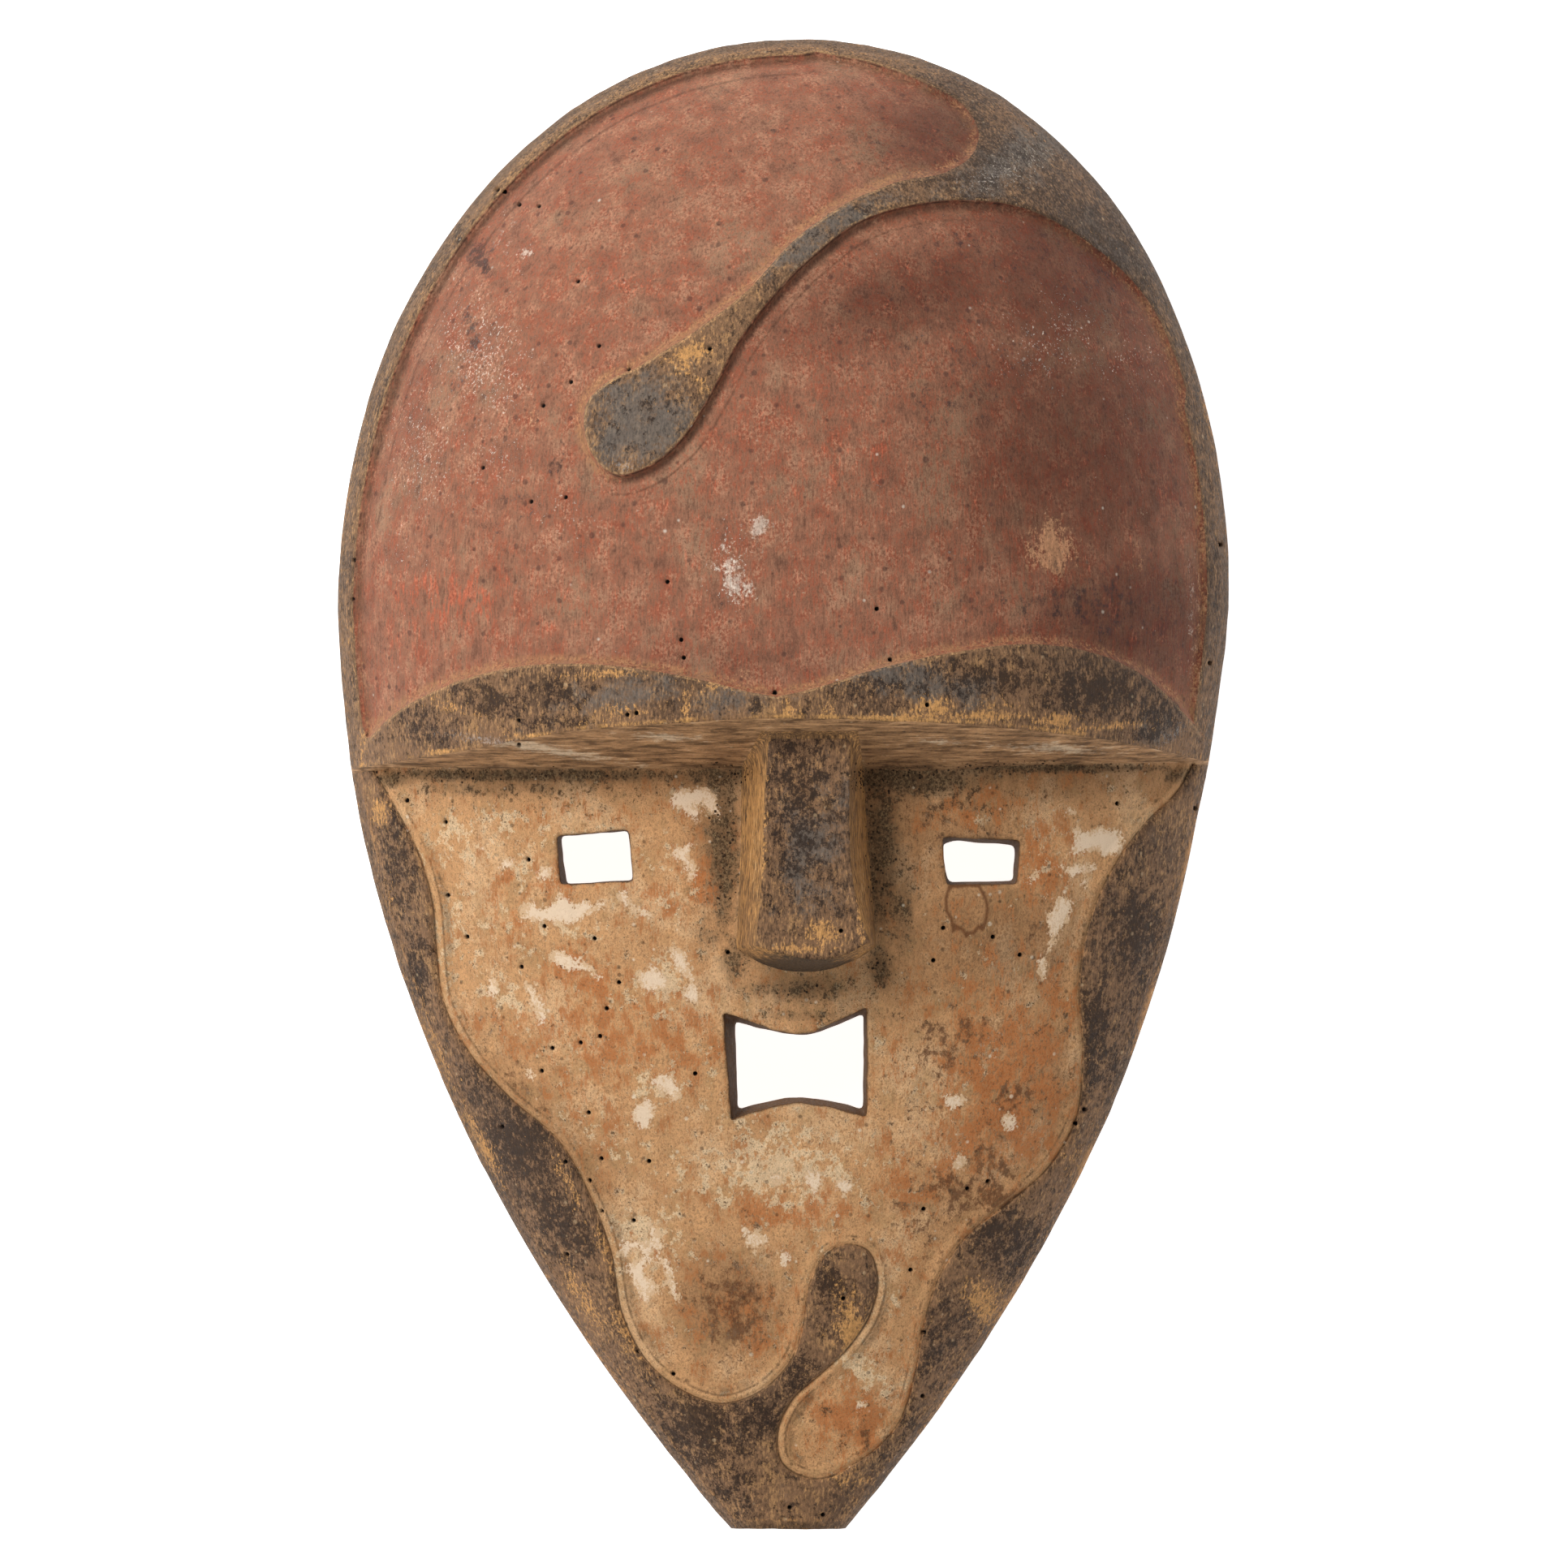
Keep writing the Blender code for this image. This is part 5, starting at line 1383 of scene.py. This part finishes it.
def finish_of(kind, marks):
    """Which finish a face has, from where its middle lies among the carved lines."""
    if kind == HOLLOW_WOOD:
        return GOUGED_WOOD
    if kind == OUTER_WOOD:
        return WALL_WOOD
    if marks["crest_mm"] > 0:
        return SOOT_BLACK
    if marks["nose_mm"] > 0:
        return WORN_WOOD
    if marks["brow_mm"] < 0 < marks["foot_mm"]:
        return BROW_WOOD
    if marks["foot_mm"] <= 0:
        return KAOLIN if marks["face_mm"] > 0 else SOOT_BLACK
    return RED_OCHRE if marks["red_mm"] > 0 else SOOT_BLACK


def mask_carving():
    """The carved mask as one closed mesh, with its marks of age and of painted shade as point
    attributes.
    """
    bm = build_skin()
    bm.verts.index_update()
    marks = age_and_shade_marks(np.array([v.co for v in bm.verts]))
    front = [v.index for v in bm.verts if any(f.material_index == PAINT for f in v.link_faces)]
    behind = np.setdiff1d(np.arange(len(bm.verts)), front)
    for name in FRONT_MARKS:
        marks[name][behind] = 0.0
    marks["wormhole_mm"][behind] = FAR_MM
    carve(bm, marks)
    deciding = ("red_mm", "face_mm", "crest_mm", "nose_mm", "brow_mm", "foot_mm")
    for face in bm.faces:
        ids = [vert.index for vert in face.verts]
        middle = {name: marks[name][ids].mean() for name in deciding}
        face.material_index = FINISHES.index(finish_of(face.material_index, middle))
        face.smooth = True
    mesh = bpy.data.meshes.new("mask_carving")
    bm.to_mesh(mesh)
    bm.free()
    for name, values in marks.items():
        mesh.attributes.new(name, 'FLOAT', 'POINT').data.foreach_set("value", values)
    border = outline(LINE_STEP)
    middle = (border.min(axis=0) + border.max(axis=0)) / 2
    node_middle = (MASK_LOW + MASK_HIGH) / 2
    mesh.transform(Matrix.Translation((node_middle.x - middle[0], node_middle.y - middle[1], 0)))
    for finish in FINISHES:
        mesh.materials.append(lay_finish(finish))
    carving = bpy.data.objects.new("mask_carving", mesh)
    bpy.context.scene.collection.objects.link(carving)
    return carving


def crust_grains(carving):
    """Grains of crusted dirt, scattered in the corners beside the nose and under the brow."""
    group = bpy.data.node_groups.new("crust_scatter", 'GeometryNodeTree')
    group.interface.new_socket("Geometry", in_out='INPUT', socket_type='NodeSocketGeometry')
    for name, kind, _ in GRAIN_INPUTS:
        group.interface.new_socket(name, in_out='INPUT', socket_type=kind)
    group.interface.new_socket("Geometry", in_out='OUTPUT', socket_type='NodeSocketGeometry')
    given = add(group, "NodeGroupInput")
    amount, least, greatest, seed = (given.outputs[name] for name, _, _ in GRAIN_INPUTS)
    crust = add(group, "GeometryNodeInputNamedAttribute", {"Name": "crust"}, data_type='FLOAT')
    strong = add(group, "ShaderNodeMapRange", {
        "Value": crust.outputs[0], "From Min": CRUST_LEAST, "From Max": 1.0})
    density = add(group, "ShaderNodeMath", {0: strong.outputs["Result"], 1: amount},
                  operation='MULTIPLY')
    scatter = add(group, "GeometryNodeDistributePointsOnFaces", {
        "Mesh": given.outputs["Geometry"], "Density": density.outputs[0], "Seed": seed})
    size = add(group, "FunctionNodeRandomValue", {
        "Min": least, "Max": greatest, "Seed": seed}, data_type='FLOAT')
    turn = add(group, "FunctionNodeRandomValue", {
        0: (0, 0, 0), 1: (math.tau, math.tau, math.tau), "Seed": seed}, data_type='FLOAT_VECTOR')
    lump = add(group, "GeometryNodeMeshIcoSphere", {"Radius": 1.0, "Subdivisions": 1})
    placed = add(group, "GeometryNodeInstanceOnPoints", {
        "Points": scatter.outputs["Points"], "Instance": lump.outputs["Mesh"],
        "Rotation": turn.outputs[0], "Scale": size.outputs[1]})
    real = add(group, "GeometryNodeRealizeInstances", {"Geometry": placed.outputs[0]})
    dirt = lay_finish(CRUST_DIRT)
    dirty = add(group, "GeometryNodeSetMaterial", {"Geometry": real.outputs[0], "Material": dirt})
    add(group, "NodeGroupOutput", {"Geometry": dirty.outputs[0]})

    source = bpy.data.objects.new("crust_source", carving.data)
    bpy.context.scene.collection.objects.link(source)
    scattering = source.modifiers.new("crust_scatter", 'NODES')
    scattering.node_group = group
    chosen = {name: value for name, _, value in GRAIN_INPUTS}
    for item in group.interface.items_tree:
        if item.in_out == 'INPUT' and item.name in chosen:
            scattering[item.identifier] = chosen[item.name]
    bpy.context.view_layer.update()
    evaluated = source.evaluated_get(bpy.context.evaluated_depsgraph_get())
    mesh = bpy.data.meshes.new_from_object(evaluated)
    mesh.name = "crust_grains"
    mesh.materials.clear()
    mesh.materials.append(dirt)
    mesh.polygons.foreach_set("material_index", [0] * len(mesh.polygons))
    source.modifiers.clear()
    bpy.data.objects.remove(source)
    grains = bpy.data.objects.new("crust_grains", mesh)
    bpy.context.scene.collection.objects.link(grains)
    return grains


def floor_and_light():
    """A plain pale floor that stays bright under the mask, and soft studio light."""
    paper = bpy.data.materials.new("white_paper_floor")
    paper.use_nodes = True
    shader = paper.node_tree.nodes["Principled BSDF"]
    shader.inputs["Base Color"].default_value = hex_colour("F4F4F2")
    shader.inputs["Roughness"].default_value = FLOOR_ROUGHNESS
    shader.inputs["Emission Color"].default_value = hex_colour("FFFFFF")
    shader.inputs["Emission Strength"].default_value = FLOOR_GLOW
    bpy.ops.mesh.primitive_plane_add(size=FLOOR_SIZE, location=(0, 0, -FLOOR_DROP))
    floor = bpy.context.object
    floor.name = "floor"
    floor.data.materials.append(paper)
    world = bpy.data.worlds.new("studio")
    world.use_nodes = True
    world.node_tree.nodes["Background"].inputs["Color"].default_value = hex_colour("FFFFFF")
    world.node_tree.nodes["Background"].inputs["Strength"].default_value = WORLD_STRENGTH
    bpy.context.scene.world = world
    for name, size, power, away in LAMPS:
        lamp = bpy.data.lights.new(name, 'AREA')
        lamp.size = size
        lamp.energy = power
        holder = bpy.data.objects.new(name, lamp)
        holder.location = away
        holder.rotation_euler = Vector(away).to_track_quat('Z', 'Y').to_euler()
        bpy.context.scene.collection.objects.link(holder)


def camera_above():
    """A camera straight above the mask, far off with a long lens, as flat as the photograph."""
    data = bpy.data.cameras.new("camera")
    camera = bpy.data.objects.new("camera", data)
    data.sensor_width = SENSOR
    data.lens = data.sensor_width * (CAMERA_HEIGHT - FOCUS_HEIGHT) / (PHOTO_SIDE * PIXEL)
    data.clip_end = FAR_CLIP
    dx = (PHOTO_SIDE / 2 - PHOTO_MIDDLE[0]) * PIXEL
    dy = (PHOTO_MIDDLE[1] - PHOTO_SIDE / 2) * PIXEL
    camera.location = (dx, dy, CAMERA_HEIGHT)
    bpy.context.scene.collection.objects.link(camera)
    bpy.context.scene.camera = camera


def main():
    bpy.context.scene.view_settings.view_transform = 'Standard'
    carving = mask_carving()
    grains = crust_grains(carving)
    for piece in (carving, grains):
        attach(piece, "root")
    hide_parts("mask")
    floor_and_light()
    camera_above()


main()
